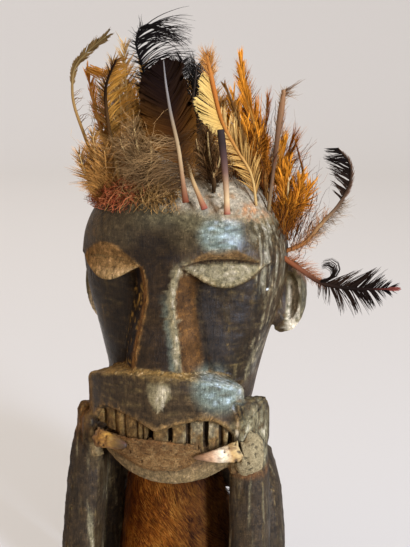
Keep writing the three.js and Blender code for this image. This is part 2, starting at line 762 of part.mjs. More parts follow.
// The figure's wood, joined from its carved forms
const head = headBlock();
let face = head.subtract(cheekCut(1)).subtract(cheekCut(-1));
face = face.subtract(eyeCut(1, eyeDepth.left)).subtract(eyeCut(-1, eyeDepth.right));
for (const hole of drillHoles) face = face.subtract(drillHole(hole));
const wood = joinAll([
  face,
  upperLip(),
  lowerJaw(),
  mouthBack(),
  ...woodenTeeth.map((tooth) => woodenTooth(tooth)),
  limb(torsoRows, torsoColumns, torsoPower),
  limb(forearmLeftRows, armSides, forearmPower),
  limb(forearmRightRows, armSides, forearmPower),
  limb(upperArmLeftRows, armSides, upperArmPower),
  limb(upperArmRightRows, armSides, upperArmPower),
  shoulders(),
  ...[...fingersLeft, ...fingersRight].map((place) => finger(place)),
  earPlate(1),
  earPlate(-1),
]);
addPiece('wooden_figure', wood, looks.wood);

// The room that the wood round the mouth takes up, a gap wider than the wood
const mouthRoom = joinAll([
  upperLip(gap),
  lowerJaw(gap),
  mouthBack(gap),
  ...woodenTeeth.map((tooth) => woodenTooth(tooth, gap)),
  ...[...fingersLeft, ...fingersRight].map((place) => finger(place, gap)),
  limb(forearmLeftRows, armSides, forearmPower, gap),
  limb(forearmRightRows, armSides, forearmPower, gap),
  headBlock(gap),
]);

// The hide: a sleeve round the torso, whose edges follow the slope of its top
function hideSleeve(grow, lowZ, spill) {
  const rings = [];
  const levels = 4;
  const [, , middleY, , halfDepthBelow] = torsoRows[0];
  for (let level = 0; level <= levels; level++) {
    const share = level / levels;
    const ring = [];
    for (let i = 0; i < torsoColumns; i++) {
      const outwards = levelRing(0, 0, 0, 1, 1, 1, torsoColumns, torsoPower)[i];
      const slopeY = middleY + halfDepthBelow * outwards.y;
      const slope = THREE.MathUtils.smoothstep(slopeY, hide.frontY, hide.backY);
      const topZ = mix(hide.frontTopZ, hide.backTopZ, slope) + spill;
      const z = mix(lowZ, topZ, share);
      const [, x, y, halfWidth, halfDepth] = rowAtHeight(torsoRows, z);
      const place = new THREE.Vector3(x, y, z);
      ring.push(place.add(outwards.multiply(new THREE.Vector3(halfWidth + grow, halfDepth + grow, 0))));
    }
    rings.push(ring);
  }
  return solid(skin(rings));
}
const hideOutside = hideSleeve(hide.thickness + gap, hide.lowZ, 0);
const hideInside = hideSleeve(gap, hide.lowZ - 1, 4);
addPiece('hide_wrap', hideOutside.subtract(hideInside), looks.hide);

// An animal tooth: a bent cone with a broken, hollow root
function animalTooth({ path, high, deep }, grow = 0) {
  const curve = new THREE.CatmullRomCurve3(path.map((point) => new THREE.Vector3(...point)));
  const cone = (fromShare, toShare, scale, steps) => {
    const rings = [];
    for (let i = 0; i <= steps; i++) {
      const share = mix(fromShare, toShare, i / steps);
      const centre = curve.getPoint(Math.min(1, share));
      const along = curve.getTangent(Math.min(1, share));
      centre.addScaledVector(along, Math.max(0, share - 1) * 20);
      const across = new THREE.Vector3(0, 0, 1).cross(along).normalize();
      const up = along.clone().cross(across).normalize();
      const size = (0.1 + 0.9 * Math.min(1, share) ** 0.8) * scale;
      const ring = [];
      for (let k = 0; k < toothSides; k++) {
        const angle = (2 * Math.PI * k) / toothSides;
        const point = centre.clone().addScaledVector(up, (high * size + grow) * Math.cos(angle));
        ring.push(point.addScaledVector(across, (deep * size + grow) * Math.sin(angle)));
      }
      rings.push(ring);
    }
    return solid(skin(rings));
  };
  const whole = cone(0, grow > 0 ? 1.02 : 1, 1, 6);
  return grow > 0 ? whole : whole.subtract(cone(0.62, 1.1, 0.62, 3));
}
for (const side of ['left', 'right']) {
  const tooth = largestBody(animalTooth(animalTeeth[side]).subtract(mouthRoom));
  addPiece(`animal_tooth_${side}`, tooth, looks.tooth);
}

// A lump of paste: a ball pushed in and out by slow waves
function pasteLump({ centre, radii, phase, detail }) {
  const ball = new THREE.IcosahedronGeometry(1, detail);
  const position = ball.attributes.position;
  const point = new THREE.Vector3();
  for (let i = 0; i < position.count; i++) {
    point.fromBufferAttribute(position, i);
    const wave = Math.sin(4.1 * point.x + phase) * Math.cos(3.7 * point.z - phase);
    const ripple = Math.sin(5.3 * point.y + 2 * phase);
    point.multiplyScalar(1 + 0.09 * (wave + ripple));
    position.setXYZ(i, point.x, point.y, point.z);
  }
  ball.scale(...radii);
  ball.translate(...centre);
  return solid(ball);
}

// The crust of paste along the lower lip, thicker in the middle
function lipCrust() {
  return mouthBar(pasteCrust.fromX, pasteCrust.toX, 10, 0, (x) => {
    const share = (x - pasteCrust.fromX) / (pasteCrust.toX - pasteCrust.fromX);
    const thick = pasteCrust.thickness * (0.3 + 0.7 * Math.sin(Math.PI * share) ** 0.6);
    const nearEnd = Math.max(0, share - pasteCrust.endFrom) / (1 - pasteCrust.endFrom);
    const edge = pasteCrust.lift + pasteCrust.endLift * nearEnd + 0.8 * Math.sin(x * 0.23);
    const low = Math.min(jawLowZ(x) + edge, jawTopZ(x) - 2);
    const top = jawTopZ(x) + 0.8;
    const back = -jaw.setBack - 2;
    const face = thick - jaw.setBack;
    return [[back, low], [0.4 - jaw.setBack, low], [face, low + 2], [face - 0.6, top], [back, top]];
  });
}
const toothRoom = animalTooth(animalTeeth.left, gap).add(animalTooth(animalTeeth.right, gap));
const paste = joinAll([...pasteLumps.map(pasteLump), lipCrust()]);
const besideMouth = (body) => largestBody(body.subtract(mouthRoom).subtract(toothRoom));
addPiece('mouth_packing', besideMouth(paste), looks.paste);
addPiece('clay_lump_left', besideMouth(pasteLump(clayLump)), looks.clay);

// The flat of a feather faces the front, a little to one side; at the back of the crown it faces
// outwards
const frontFacing = new THREE.Vector3(0.27, -0.95, 0.15).normalize();
const backFromY = 18;
const facingAt = ([x, y]) => (y > backFromY ? new THREE.Vector3(-x, -y, 0).normalize() : frontFacing);

// A feather: a shaft with a thin vane on each side, as one skin of four-cornered sections
function featherSkin({ path, shaft, left, right }, steps, grow) {
  const points = path.map((point) => new THREE.Vector3(...point));
  const curve = new THREE.CatmullRomCurve3(points, false, 'centripetal');
  const rings = [];
  for (let i = 0; i <= steps; i++) {
    const share = i / steps;
    const centre = curve.getPointAt(share);
    const along = curve.getTangentAt(share);
    if (i === 0 || i === steps) centre.addScaledVector(along, i === 0 ? -grow : grow);
    const across = facingAt(path[0]).clone().cross(along).negate().normalize();
    const out = across.clone().cross(along).normalize();
    const radius = shaft * mix(1, 0.45, share) + grow;
    rings.push([
      centre.clone().addScaledVector(across, -radius - readList(left, share)),
      centre.clone().addScaledVector(out, radius),
      centre.clone().addScaledVector(across, radius + readList(right, share)),
      centre.clone().addScaledVector(out, -radius),
    ]);
  }
  return solid(skin(rings));
}

// A tuft: blades that share a stem and then bow outwards on their way to their tips
function tuftSkin({ root, tips, width }, grow) {
  const from = new THREE.Vector3(...root);
  const stem = from.clone().add(new THREE.Vector3(0, 0, tuftStem));
  const sides = bladeShape.map((share) => share * width);
  return joinAll(tips.map((tip) => {
    const to = new THREE.Vector3(...tip);
    const bow = new THREE.Vector3((to.x - from.x) * tuftBow, 0, 0);
    const middle = stem.clone().lerp(to, 0.5).add(bow);
    const path = [from, stem, middle, to].map((point) => point.toArray());
    return featherSkin({ path, shaft: bladeShaft, left: sides, right: sides }, bladeSteps, grow);
  }));
}

// The mat of fibres: a thin layer over part of the crown
const crownRoom = headBlock(gap);
function fibreMat(grow) {
  const middle = new THREE.Vector2(...tangle.middle);
  const points = tangle.outline.map(([x, y]) => {
    const point = new THREE.Vector2(x, y);
    return point.addScaledVector(point.clone().sub(middle).normalize(), grow);
  });
  const shape = new THREE.Shape(points);
  const column = new THREE.ExtrudeGeometry(shape, { depth: tangle.depth, bevelEnabled: false });
  column.translate(0, 0, tangle.lowZ);
  return solid(column).intersect(headBlock(tangle.height + grow, tangle.ripple));
}
addPiece('fibre_tangle', largestBody(fibreMat(0).subtract(crownRoom)), looks.fibre);

// Every feather and tuft is trimmed to the crown and the mat, and kept clear of those before it
let taken = crownRoom.add(fibreMat(gap));
const standing = { ...feathers, ...tufts };
for (const [name, spec] of Object.entries(standing)) {
  const makeSkin = (grow) => (spec.tips ? tuftSkin(spec, grow) : featherSkin(spec, featherSteps, grow));
  addPiece(name, largestBody(makeSkin(0).subtract(taken)), looks[spec.look]);
  taken = taken.add(makeSkin(gap));
}

export default figure;
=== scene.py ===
import bpy
import math
import numpy as np
from types import SimpleNamespace
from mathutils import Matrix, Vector
from mathutils.kdtree import KDTree


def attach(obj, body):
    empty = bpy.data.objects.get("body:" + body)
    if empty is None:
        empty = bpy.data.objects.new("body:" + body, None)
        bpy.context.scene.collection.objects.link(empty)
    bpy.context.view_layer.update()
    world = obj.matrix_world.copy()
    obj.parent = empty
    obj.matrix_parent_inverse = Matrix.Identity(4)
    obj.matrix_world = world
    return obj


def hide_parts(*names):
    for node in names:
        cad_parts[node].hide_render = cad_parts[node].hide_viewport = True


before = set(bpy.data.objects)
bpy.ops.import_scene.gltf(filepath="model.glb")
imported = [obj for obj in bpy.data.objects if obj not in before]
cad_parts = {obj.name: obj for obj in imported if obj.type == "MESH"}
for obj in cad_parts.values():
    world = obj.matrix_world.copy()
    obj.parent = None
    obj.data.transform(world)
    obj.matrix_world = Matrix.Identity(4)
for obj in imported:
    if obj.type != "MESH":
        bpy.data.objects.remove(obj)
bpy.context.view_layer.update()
print("frame loaded")

# The model is laid out in millimetres, in the frame of the solids: +Z up, the face looks along -Y
mm = 0.001


# Small helpers: colour, soft masks, noise

def toLinear(hexText):
    values = [int(hexText[i:i + 2], 16) / 255 for i in (1, 3, 5)]
    return np.array([v / 12.92 if v <= 0.04045 else ((v + 0.055) / 1.055) ** 2.4 for v in values])


def soft(low, high, value):
    t = np.clip((value - low) / (high - low), 0, 1)
    return t * t * (3 - 2 * t)


def mixTint(tint, colour, share):
    return tint + (toLinear(colour) - tint) * share[:, None]


def painter(tint):
    # paints colours onto a mesh's tint, each by its own share at every point
    def paint(colour, share):
        tint[:] = mixTint(tint, colour, share)
    return paint


def blob(p, centre, radii):
    away = np.linalg.norm((p - np.array(centre)) / np.array(radii), axis=1)
    return 1 - soft(0.55, 1.25, away)


def latticeValue(x, y, z, seed):
    n = (x * 374761393 + y * 668265263 + z * 2147483029 + seed * 974634777) & 0xFFFFFFFF
    n = ((n ^ (n >> 13)) * 1274126177) & 0xFFFFFFFF
    return ((n ^ (n >> 16)) & 0xFFFF) / 32767.5 - 1


def noise(p, size, seed):
    q = p / np.array(size)
    cell = np.floor(q).astype(np.int64)
    f = q - cell
    f = f * f * (3 - 2 * f)
    total = np.zeros(len(p))
    for dx, dy, dz in np.ndindex(2, 2, 2):
        share = (f[:, 0] if dx else 1 - f[:, 0]) * (f[:, 1] if dy else 1 - f[:, 1])
        share = share * (f[:, 2] if dz else 1 - f[:, 2])
        total += share * latticeValue(cell[:, 0] + dx, cell[:, 1] + dy, cell[:, 2] + dz, seed)
    return total


def layeredNoise(p, size, seed, layers=3):
    total, weight, reach = np.zeros(len(p)), 1.0, 0.0
    for layer in range(layers):
        total += weight * noise(p, np.array(size) / 2 ** layer, seed + layer)
        reach += weight
        weight *= 0.55
    return total / reach


def fissures(p, size, seed, thin):
    return 1 - soft(0, thin, np.abs(layeredNoise(p, size, seed, 2)))


# Meshes from arrays

def objectFrom(name, points, faces, tint=None, masks=None):
    mesh = bpy.data.meshes.new(name)
    points = np.asarray(points, dtype=np.float32) * mm
    faces = [np.asarray(f, dtype=np.int32) for f in faces if len(f)]
    corners = sum(f.size for f in faces)
    mesh.vertices.add(len(points))
    mesh.vertices.foreach_set("co", points.ravel())
    mesh.loops.add(corners)
    mesh.loops.foreach_set("vertex_index", np.concatenate([f.ravel() for f in faces]))
    counts = np.concatenate([np.full(len(f), f.shape[1], dtype=np.int32) for f in faces])
    mesh.polygons.add(len(counts))
    starts = np.concatenate([[0], np.cumsum(counts)[:-1]]).astype(np.int32)
    mesh.polygons.foreach_set("loop_start", starts)
    mesh.polygons.foreach_set("use_smooth", np.ones(len(counts), dtype=bool))
    mesh.update(calc_edges=True)
    mesh.validate()
    if tint is not None:
        layer = mesh.color_attributes.new("tint", "FLOAT_COLOR", "POINT")
        rgba = np.ones((len(points), 4), dtype=np.float32)
        rgba[:, :3] = tint
        layer.data.foreach_set("color", rgba.ravel())
    for maskName, values in (masks or {}).items():
        layer = mesh.attributes.new(maskName, "FLOAT", "POINT")
        layer.data.foreach_set("value", np.asarray(values, dtype=np.float32))
    made = bpy.data.objects.new(name, mesh)
    bpy.context.scene.collection.objects.link(made)
    return made


def meshArrays(mesh):
    mesh.calc_loop_triangles()
    found = []
    for items, key, width, kind in ((mesh.vertices, "co", 3, np.float32),
                                    (mesh.loop_triangles, "vertices", 3, np.int32),
                                    (mesh.edges, "vertices", 2, np.int32)):
        values = np.empty(len(items) * width, dtype=kind)
        items.foreach_get(key, values)
        found.append(values.reshape(-1, width))
    return found[0].astype(float) / mm, found[1], found[2]


def modified(made, kind, settings):
    # the arrays of a draft after one modifier; the draft itself goes
    modifier = made.modifiers.new("change", kind)
    for key, value in settings.items():
        setattr(modifier, key, value)
    result = made.evaluated_get(bpy.context.evaluated_depsgraph_get())
    arrays = meshArrays(bpy.data.meshes.new_from_object(result))
    bpy.data.objects.remove(made)
    return arrays


def denseCopy(node, voxel):
    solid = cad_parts[node]
    mesh = solid.data.copy()
    mesh.transform(solid.matrix_world)
    made = bpy.data.objects.new("draft", mesh)
    bpy.context.scene.collection.objects.link(made)
    return modified(made, "REMESH", {"mode": "VOXEL", "voxel_size": voxel * mm})


def thinnedOut(points, triangles, budget):
    made = objectFrom("draft", points, [triangles])
    return modified(made, "DECIMATE", {"ratio": min(1, budget / len(triangles))})


def normalsOf(points, triangles):
    a, b, c = (points[triangles[:, k]] for k in range(3))
    faceNormals = np.cross(b - a, c - a)
    total = np.zeros_like(points)
    for axis in range(3):
        for k in range(3):
            total[:, axis] += np.bincount(triangles[:, k], faceNormals[:, axis], len(points))
    return total / np.maximum(np.linalg.norm(total, axis=1), 1e-12)[:, None]


def averaged(values, edges):
    count = len(values)
    degree = np.maximum(np.bincount(edges.ravel(), minlength=count), 1)
    flat = values.reshape(count, -1)
    out = np.empty_like(flat)
    for k in range(flat.shape[1]):
        column = flat[:, k]
        out[:, k] = np.bincount(edges[:, 0], column[edges[:, 1]], count)
        out[:, k] += np.bincount(edges[:, 1], column[edges[:, 0]], count)
    return (out / degree[:, None]).reshape(values.shape)


def relaxed(points, edges, passes, share):
    share = np.broadcast_to(share, (len(points),))[:, None]
    for _ in range(passes):
        points = points + share * (averaged(points, edges) - points)
    return points


def evenSkin(node, voxel, passes):
    # a solid's surface with evenly spread points and its plain edges rounded
    points, triangles, edges = denseCopy(node, voxel)
    points = relaxed(points, edges, passes, 0.5)
    return points, triangles, normalsOf(points, triangles)


def dots(a, b):
    return np.einsum("ij,ij->i", a, b)


# Threads: shafts, barbs, hairs and fibres are all thin ribbons and tubes along paths

def smoothPath(path, count):
    p = np.array(path, dtype=float)
    reach = np.concatenate([[0], np.cumsum(np.linalg.norm(np.diff(p, axis=0), axis=1))])
    slope = np.gradient(p, reach, axis=0)
    t = np.linspace(0, reach[-1], count)
    k = np.clip(np.searchsorted(reach, t, side="right") - 1, 0, len(p) - 2)
    span = (reach[k + 1] - reach[k])[:, None]
    u = (t - reach[k])[:, None] / span
    return ((2 * u ** 3 - 3 * u ** 2 + 1) * p[k] + (u ** 3 - 2 * u ** 2 + u) * span * slope[k]
            + (3 * u ** 2 - 2 * u ** 3) * p[k + 1] + (u ** 3 - u ** 2) * span * slope[k + 1])


def unit(v):
    return v / np.maximum(np.linalg.norm(v, axis=-1, keepdims=True), 1e-9)


def readList(values, share):
    values = np.array(values, dtype=float)
    return np.interp(share, np.linspace(0, 1, len(values)), values)


def readRows(rows, share):
    spots = np.linspace(0, 1, len(rows))
    return np.stack([np.interp(share, spots, rows[:, c]) for c in range(3)], axis=-1)


def readColours(hexes, share):
    # hexes: sRGB colours in one string, evenly spaced from 0 to 1
    return readRows(np.array([toLinear(h) for h in hexes.split()]), share)


def ribbons(points, widths, sides, colours):
    # points, sides and colours: (threads, steps, 3); widths: (threads, steps)
    half = sides * widths[..., None] / 2
    both = np.stack([points - half, points + half], axis=2)
    threads, steps = widths.shape
    start = np.arange(threads)[:, None] * steps * 2 + np.arange(steps - 1)[None, :] * 2
    faces = np.stack([start, start + 1, start + 3, start + 2], axis=-1).reshape(-1, 4)
    tint = np.repeat(colours[:, :, None, :], 2, axis=2)
    return both.reshape(-1, 3), faces, tint.reshape(-1, 3)


def ringFaces(rings, sides):
    # quads between neighbouring rings, and a fan at each end round the two middle points after them
    k = np.arange(sides)
    after = (k + 1) % sides
    start = np.arange(rings - 1)[:, None] * sides
    a, b = start + k, start + after
    quads = np.stack([a, b, b + sides, a + sides], axis=-1).reshape(-1, 4)
    last, middle = (rings - 1) * sides, rings * sides
    low = np.stack([np.full(sides, middle), after, k], axis=1)
    high = np.stack([np.full(sides, middle + 1), last + k, last + after], axis=1)
    return quads, np.vstack([low, high])


def tube(path, radii, colours, normal):
    sides, flatten = 8, 0.8     # a feather's shaft is a little flat
    along = unit(np.gradient(path, axis=0))
    across = unit(np.cross(along, normal))
    out = unit(np.cross(across, along))
    turn = 2 * math.pi * np.arange(sides) / sides
    ring = np.cos(turn)[None, :, None] * across[:, None, :]
    ring = ring + flatten * np.sin(turn)[None, :, None] * out[:, None, :]
    points = (path[:, None, :] + np.asarray(radii)[:, None, None] * ring).reshape(-1, 3)
    quads, caps = ringFaces(len(path), sides)
    tint = np.vstack([np.repeat(colours, sides, axis=0), colours[:1], colours[-1:]])
    return np.vstack([points, path[:1], path[-1:]]), quads, caps, tint


class Bundle:
    # collects the threads and tubes that make one piece
    def __init__(self):
        self.points, self.quads, self.triangles, self.tints, self.count = [], [], [], [], 0

    def add(self, points, quads, tint, triangles=None):
        self.points.append(points)
        self.quads.append(np.asarray(quads) + self.count)
        if triangles is not None:
            self.triangles.append(np.asarray(triangles) + self.count)
        self.tints.append(tint)
        self.count += len(points)

    def piece(self, name):
        faces = [np.vstack(self.quads)] + ([np.vstack(self.triangles)] if self.triangles else [])
        return objectFrom(name, np.vstack(self.points), faces, np.vstack(self.tints))


def finished(made, material, node=None):
    made.data.materials.append(material)
    if node:
        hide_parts(node)
    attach(made, "root")
    return made


# Materials

def newMaterial(name, roughness, specular):
    material = bpy.data.materials.new(name)
    material.use_nodes = True
    shader = material.node_tree.nodes["Principled BSDF"]
    shader.inputs["Roughness"].default_value = roughness
    shader.inputs["Specular IOR Level"].default_value = specular
    return material, material.node_tree, shader


def addNode(tree, kind, settings=None, links=None):
    node = tree.nodes.new(kind)
    for key, value in (settings or {}).items():
        if isinstance(key, int) or key in node.inputs:
            node.inputs[key].default_value = value
        else:
            setattr(node, key, value)
    for key, source in (links or {}).items():
        tree.links.new(source, node.inputs[key])
    return node


def pattern(tree, sizeMm, detail=4, roughness=0.6):
    place = addNode(tree, "ShaderNodeTexCoord").outputs["Object"]
    scale = addNode(tree, "ShaderNodeMapping", {"Scale": [1 / (s * mm) for s in sizeMm]}, {"Vector": place})
    return addNode(tree, "ShaderNodeTexNoise",
                   {"Scale": 1.0, "Detail": detail, "Roughness": roughness, "Distortion": 0.8},
                   {"Vector": scale.outputs["Vector"]}).outputs["Fac"]


def varied(tree, colour, value, stops, blend="MULTIPLY"):
    # a colour or level changed by a curve of another value; stops are (value, factor)
    ramp = addNode(tree, "ShaderNodeValToRGB", None, {"Fac": value})
    points = ramp.color_ramp.elements
    while len(points) < len(stops):
        points.new(0.5)
    for point, (place, level) in zip(points, stops):
        point.position = place
        point.color = (level, level, level, 1)
    mix = addNode(tree, "ShaderNodeMix", {"data_type": "RGBA", "blend_type": blend, 0: 1.0},
                  {6: colour, 7: ramp.outputs["Color"]})
    return mix.outputs[2]


def surfaced(material, tree, shader, layers, height=None, depthMm=0, strength=1.0):
    # the mesh's own tint, varied by each layer in turn, and the relief where there is one
    tint = addNode(tree, "ShaderNodeAttribute", {"attribute_name": "tint"}).outputs["Color"]
    for value, stops in layers:
        tint = varied(tree, tint, value, stops)
    tree.links.new(tint, shader.inputs["Base Color"])
    if height is not None:
        bump = addNode(tree, "ShaderNodeBump", {"Strength": strength, "Distance": depthMm * mm},
                       {"Height": height})
        tree.links.new(bump.outputs["Normal"], shader.inputs["Normal"])
    return material


# Dense tropical hardwood, carved with an adze and knife, blackened with soot and oil and polished by
# hands: a dark brown with fine upright grain, a soft gloss where it was held, and matt dust elsewhere
woodFinish = {"grain": (0.8, 0.8, 8), "speck": (1.0, 1.0, 1.0), "scratch": (8, 8, 0.6), "cloud": (6, 6, 9),
              "glossRough": 0.27, "dustRough": 0.95}


def agedHardwood():
    material, tree, shader = newMaterial("aged_hardwood_carved_and_hand_polished",
                                         woodFinish["dustRough"], 0.14)
    grain = pattern(tree, woodFinish["grain"], 5, 0.65)
    speck = pattern(tree, woodFinish["speck"], 3, 0.7)
    cloud = pattern(tree, woodFinish["cloud"])
    scratch = pattern(tree, woodFinish["scratch"])
    gloss = addNode(tree, "ShaderNodeAttribute", {"attribute_name": "gloss"}).outputs["Fac"]
    rough = addNode(tree, "ShaderNodeMapRange",
                    {"To Min": woodFinish["dustRough"], "To Max": woodFinish["glossRough"]}, {"Value": gloss})
    rough = varied(tree, rough.outputs["Result"], cloud, [(0.3, 1.15), (0.7, 0.85)])
    tree.links.new(rough, shader.inputs["Roughness"])
    height = varied(tree, speck, grain, [(0.2, 0.0), (0.8, 1.0)], "ADD")
    height = varied(tree, height, gloss, [(0.3, 1.0), (0.95, 0.16)])
    return surfaced(material, tree, shader, [
        (grain, [(0.3, 0.6), (0.5, 1.0), (0.72, 1.35)]),
        (cloud, [(0.3, 0.68), (0.7, 1.3)]),
        (speck, [(0.32, 0.4), (0.45, 1.0), (0.58, 1.0), (0.7, 2.1)]),
        (scratch, [(0.3, 0.85), (0.62, 1.0), (0.74, 1.5)])], height, 0.35, 0.9)


# The carved wood

wood = {
    "voxel": 0.95,          # spacing of the dense draft, mm
    "triangles": 192000,    # of the finished piece
    "blendPasses": 90,      # rounds that blend the flat planes of the plain solid into one surface
    "wave": 0.3,            # slow unevenness left by the adze, mm
    "knifeMarks": 0.13,     # fine marks across the cheeks, mm
    "fissure": 0.6,         # depth of the open grain on the arms and temples, mm
    "chip": 1.1,            # wear of the sharp edges, mm
    "crust": 0.4,           # dust and clay caked on the crown, mm
}
# carved teeth: from x to x; nose: height and half width of its ridge; eyes: their almond outlines
woodenTeeth = [(-46, -39.2), (-37.6, -30.3), (-28.7, -23.3), (-21.9, -14.4), (-12.9, -10.2), (-9, -7),
               (-3.4, 7.1), (9.1, 17.7), (19.9, 28.3), (30.5, 37), (38.8, 41.9), (43.5, 45.8)]
noseRows = [(150, 14.2), (158, 13.8), (168, 12.7), (178, 11), (189, 9), (199, 7.7), (207, 8.2), (222, 12)]
eye = {"innerX": 11.5, "outerX": 56, "cornerZ": 218.5, "rise": 12.5, "drop": 10.5, "creaseRise": 3}


def eyePlaces(p):
    share = np.clip((np.abs(p[:, 0]) - eye["innerX"]) / (eye["outerX"] - eye["innerX"]), 0, 1)
    top = eye["cornerZ"] + eye["rise"] * np.sin(math.pi * share ** 1.1)
    crease = eye["cornerZ"] + eye["creaseRise"] * np.sin(math.pi * share)
    bottom = eye["cornerZ"] - eye["drop"] * np.sin(math.pi * share ** 1.25)
    inside = soft(-0.4, 1.2, top - p[:, 2]) * soft(-0.6, 0.6, p[:, 2] - bottom)
    inside *= soft(0, 0.02, share) * soft(1, 0.98, share) * soft(-8, -18, p[:, 1])
    return share, crease, bottom, inside


def noseEdge(z):
    heights, widths = zip(*noseRows)
    return np.interp(z, heights, widths)


def faceMasks(p, n):
    x, y, z = p.T
    share, crease, bottom, inside = eyePlaces(p)
    edge = noseEdge(z)
    wide = np.abs(x)
    m = SimpleNamespace(inside=inside, share=share)
    m.lid = inside * soft(-0.5, 0.8, crease - z)
    m.upper = inside * soft(-0.8, 0.8, z - crease)
    m.slot = inside * np.exp(-((z - crease - 0.6) / 0.9) ** 2) * np.sin(math.pi * share) ** 0.5
    onFace = soft(146.5, 148.5, z) * soft(-2, -12, y) * soft(0.5, -1, z - bottom) * (1 - inside)
    m.nose = onFace * soft(1.0, -0.6, wide - edge)
    m.bevel = onFace * soft(-0.5, 0.8, wide - edge) * soft(1.2, -1.2, wide - edge - 10.2)
    m.cheek = onFace * soft(-1.2, 1.5, wide - edge - 10.4) * soft(61, 52, wide - (z - 200) * 0.1)
    m.groove = onFace * np.exp(-((wide - edge - 11) / 2.2) ** 2)
    lipOut = np.hypot(x, y - 15.7)
    m.muzzle = soft(70, 73.5, lipOut) * soft(121, 124, z) * soft(161, 158.5, z) * soft(-20, -30, y)
    m.jaw = soft(66, 69, lipOut) * soft(86, 88, z) * soft(118, 116.5, z) * soft(-25, -33, y)
    m.jaw *= soft(49, 47, wide)
    m.mouth = soft(60, 62.5, lipOut) * soft(73.6, 73, lipOut) * soft(110, 113, z) * soft(134, 131, z)
    m.mouth *= soft(-20, -30, y) * soft(48, 46, wide)
    alongLip = 75.7 * x / np.maximum(lipOut, 1)
    toTooth = np.min([np.maximum(low - alongLip, alongLip - high) for low, high in woodenTeeth], axis=0)
    m.toothGap = m.mouth * soft(-0.5, 0.5, toTooth) * np.where(x < -5, 0.55, 1)
    ledgeZ = 159 - 9 * (x / 48.8) ** 2
    m.ledge = soft(-3, -1.5, z - ledgeZ) * soft(4, 2, z - ledgeZ) * soft(0.25, 0.6, n[:, 2])
    m.ledge *= soft(-15, -25, y) * soft(76, 74, lipOut) * soft(50, 49, wide)
    m.crown = soft(241, 252, z + 0.1 * y + 0.12 * np.minimum(x, 40) - 1) * soft(-1, 0.2, n[:, 2])
    m.arms = np.maximum(soft(100, 92, z) * soft(33, 38, wide), soft(46, 48, wide) * soft(147, 143, z))
    m.ears = soft(60, 62.5, wide) * soft(163, 167, z) * soft(216, 212, z)
    return m


# a triangle scratched into the back of the left hand with a point: ends of the cuts as (x, z)
handCuts = [((43, 141), (49, 128)), ((49, 128), (58, 137)), ((43, 141), (58, 139)), ((47, 139), (50, 130))]


def handScratches(p):
    x, y, z = p.T
    deepest = np.zeros(len(p))
    for (x0, z0), (x1, z1) in handCuts:
        dx, dz = x1 - x0, z1 - z0
        t = np.clip(((x - x0) * dx + (z - z0) * dz) / (dx ** 2 + dz ** 2), 0, 1)
        deepest = np.maximum(deepest, soft(0.9, 0.3, np.hypot(x - x0 - t * dx, z - z0 - t * dz)))
    return deepest * soft(-15, -22, y) * soft(40, 42, x)


def carveWood():
    points, triangles, edges = denseCopy("wooden_figure", wood["voxel"])
    normals = normalsOf(points, triangles)
    turn = 1 - np.sum(normals[edges[:, 0]] * normals[edges[:, 1]], axis=1)
    sharpness = np.zeros(len(points))
    np.maximum.at(sharpness, edges[:, 0], turn)
    np.maximum.at(sharpness, edges[:, 1], turn)
    for _ in range(2):
        sharpness = np.maximum(sharpness, averaged(sharpness, edges))
    points = relaxed(points, edges, wood["blendPasses"], 0.5 * soft(0.05, 0.018, sharpness))
    points = relaxed(points, edges, 3, 0.4)
    print("wood: dense draft of", len(triangles), "triangles")

    normals = normalsOf(points, triangles)
    m = faceMasks(points, normals)
    x, y, z = points.T
    convex = dots(points - relaxed(points, edges, 5, 0.6), normals)
    push = wood["wave"] * noise(points, 15, 11)
    push += wood["knifeMarks"] * layeredNoise(points, (7, 7, 1.7), 12, 2) * (0.35 + m.cheek)
    noseSide = soft(5, 3, np.abs(np.abs(x) - noseEdge(z))) * soft(146, 150, z) * soft(0, -10, y)
    push -= wood["chip"] * (1 - noseSide) * soft(0.12, 0.5, convex) * soft(
        -0.1, 0.6, layeredNoise(points, 5, 13))
    temple = soft(48, 54, np.abs(x)) * soft(190, 205, z) * soft(262, 245, z) * soft(10, 0, y)
    openGrain = np.clip(m.arms + temple + 0.5 * m.ears, 0, 1) * (1 - m.mouth)
    few = soft(0.05, 0.5, layeredNoise(points, (14, 14, 60), 18)) + 0.5 * temple
    push -= wood["fissure"] * openGrain * few * fissures(points, (4.2, 4.2, 60), 14, 0.1)
    push -= 0.12 * openGrain * fissures(points, (1.8, 1.8, 22), 15, 0.2)
    push += wood["crust"] * m.crown * layeredNoise(points, 4.5, 16)
    bulge = m.lid * np.sin(math.pi * m.share) ** 0.7
    push += bulge * np.where(x > 0, 1.5, 0.4) + np.where(x > 0, 0, 1.3) * m.slot
    push -= m.slot * np.where(x > 0, 1.7, 0)
    push -= 0.2 * m.jaw * fissures(points, (9, 9, 2.6), 17, 0.16)
    push -= 1.6 * m.toothGap
    push -= 0.5 * handScratches(points)
    crumbs = m.ledge + 0.8 * m.mouth + blob(points, (-56, -32, 126), (13, 20, 22))
    push += 0.55 * crumbs * layeredNoise(points, 2.6, 19)
    points = points + normals * push[:, None]

    points, triangles, edges = thinnedOut(points, triangles, wood["triangles"])
    print("wood:", len(triangles), "triangles")
    return points, triangles, edges


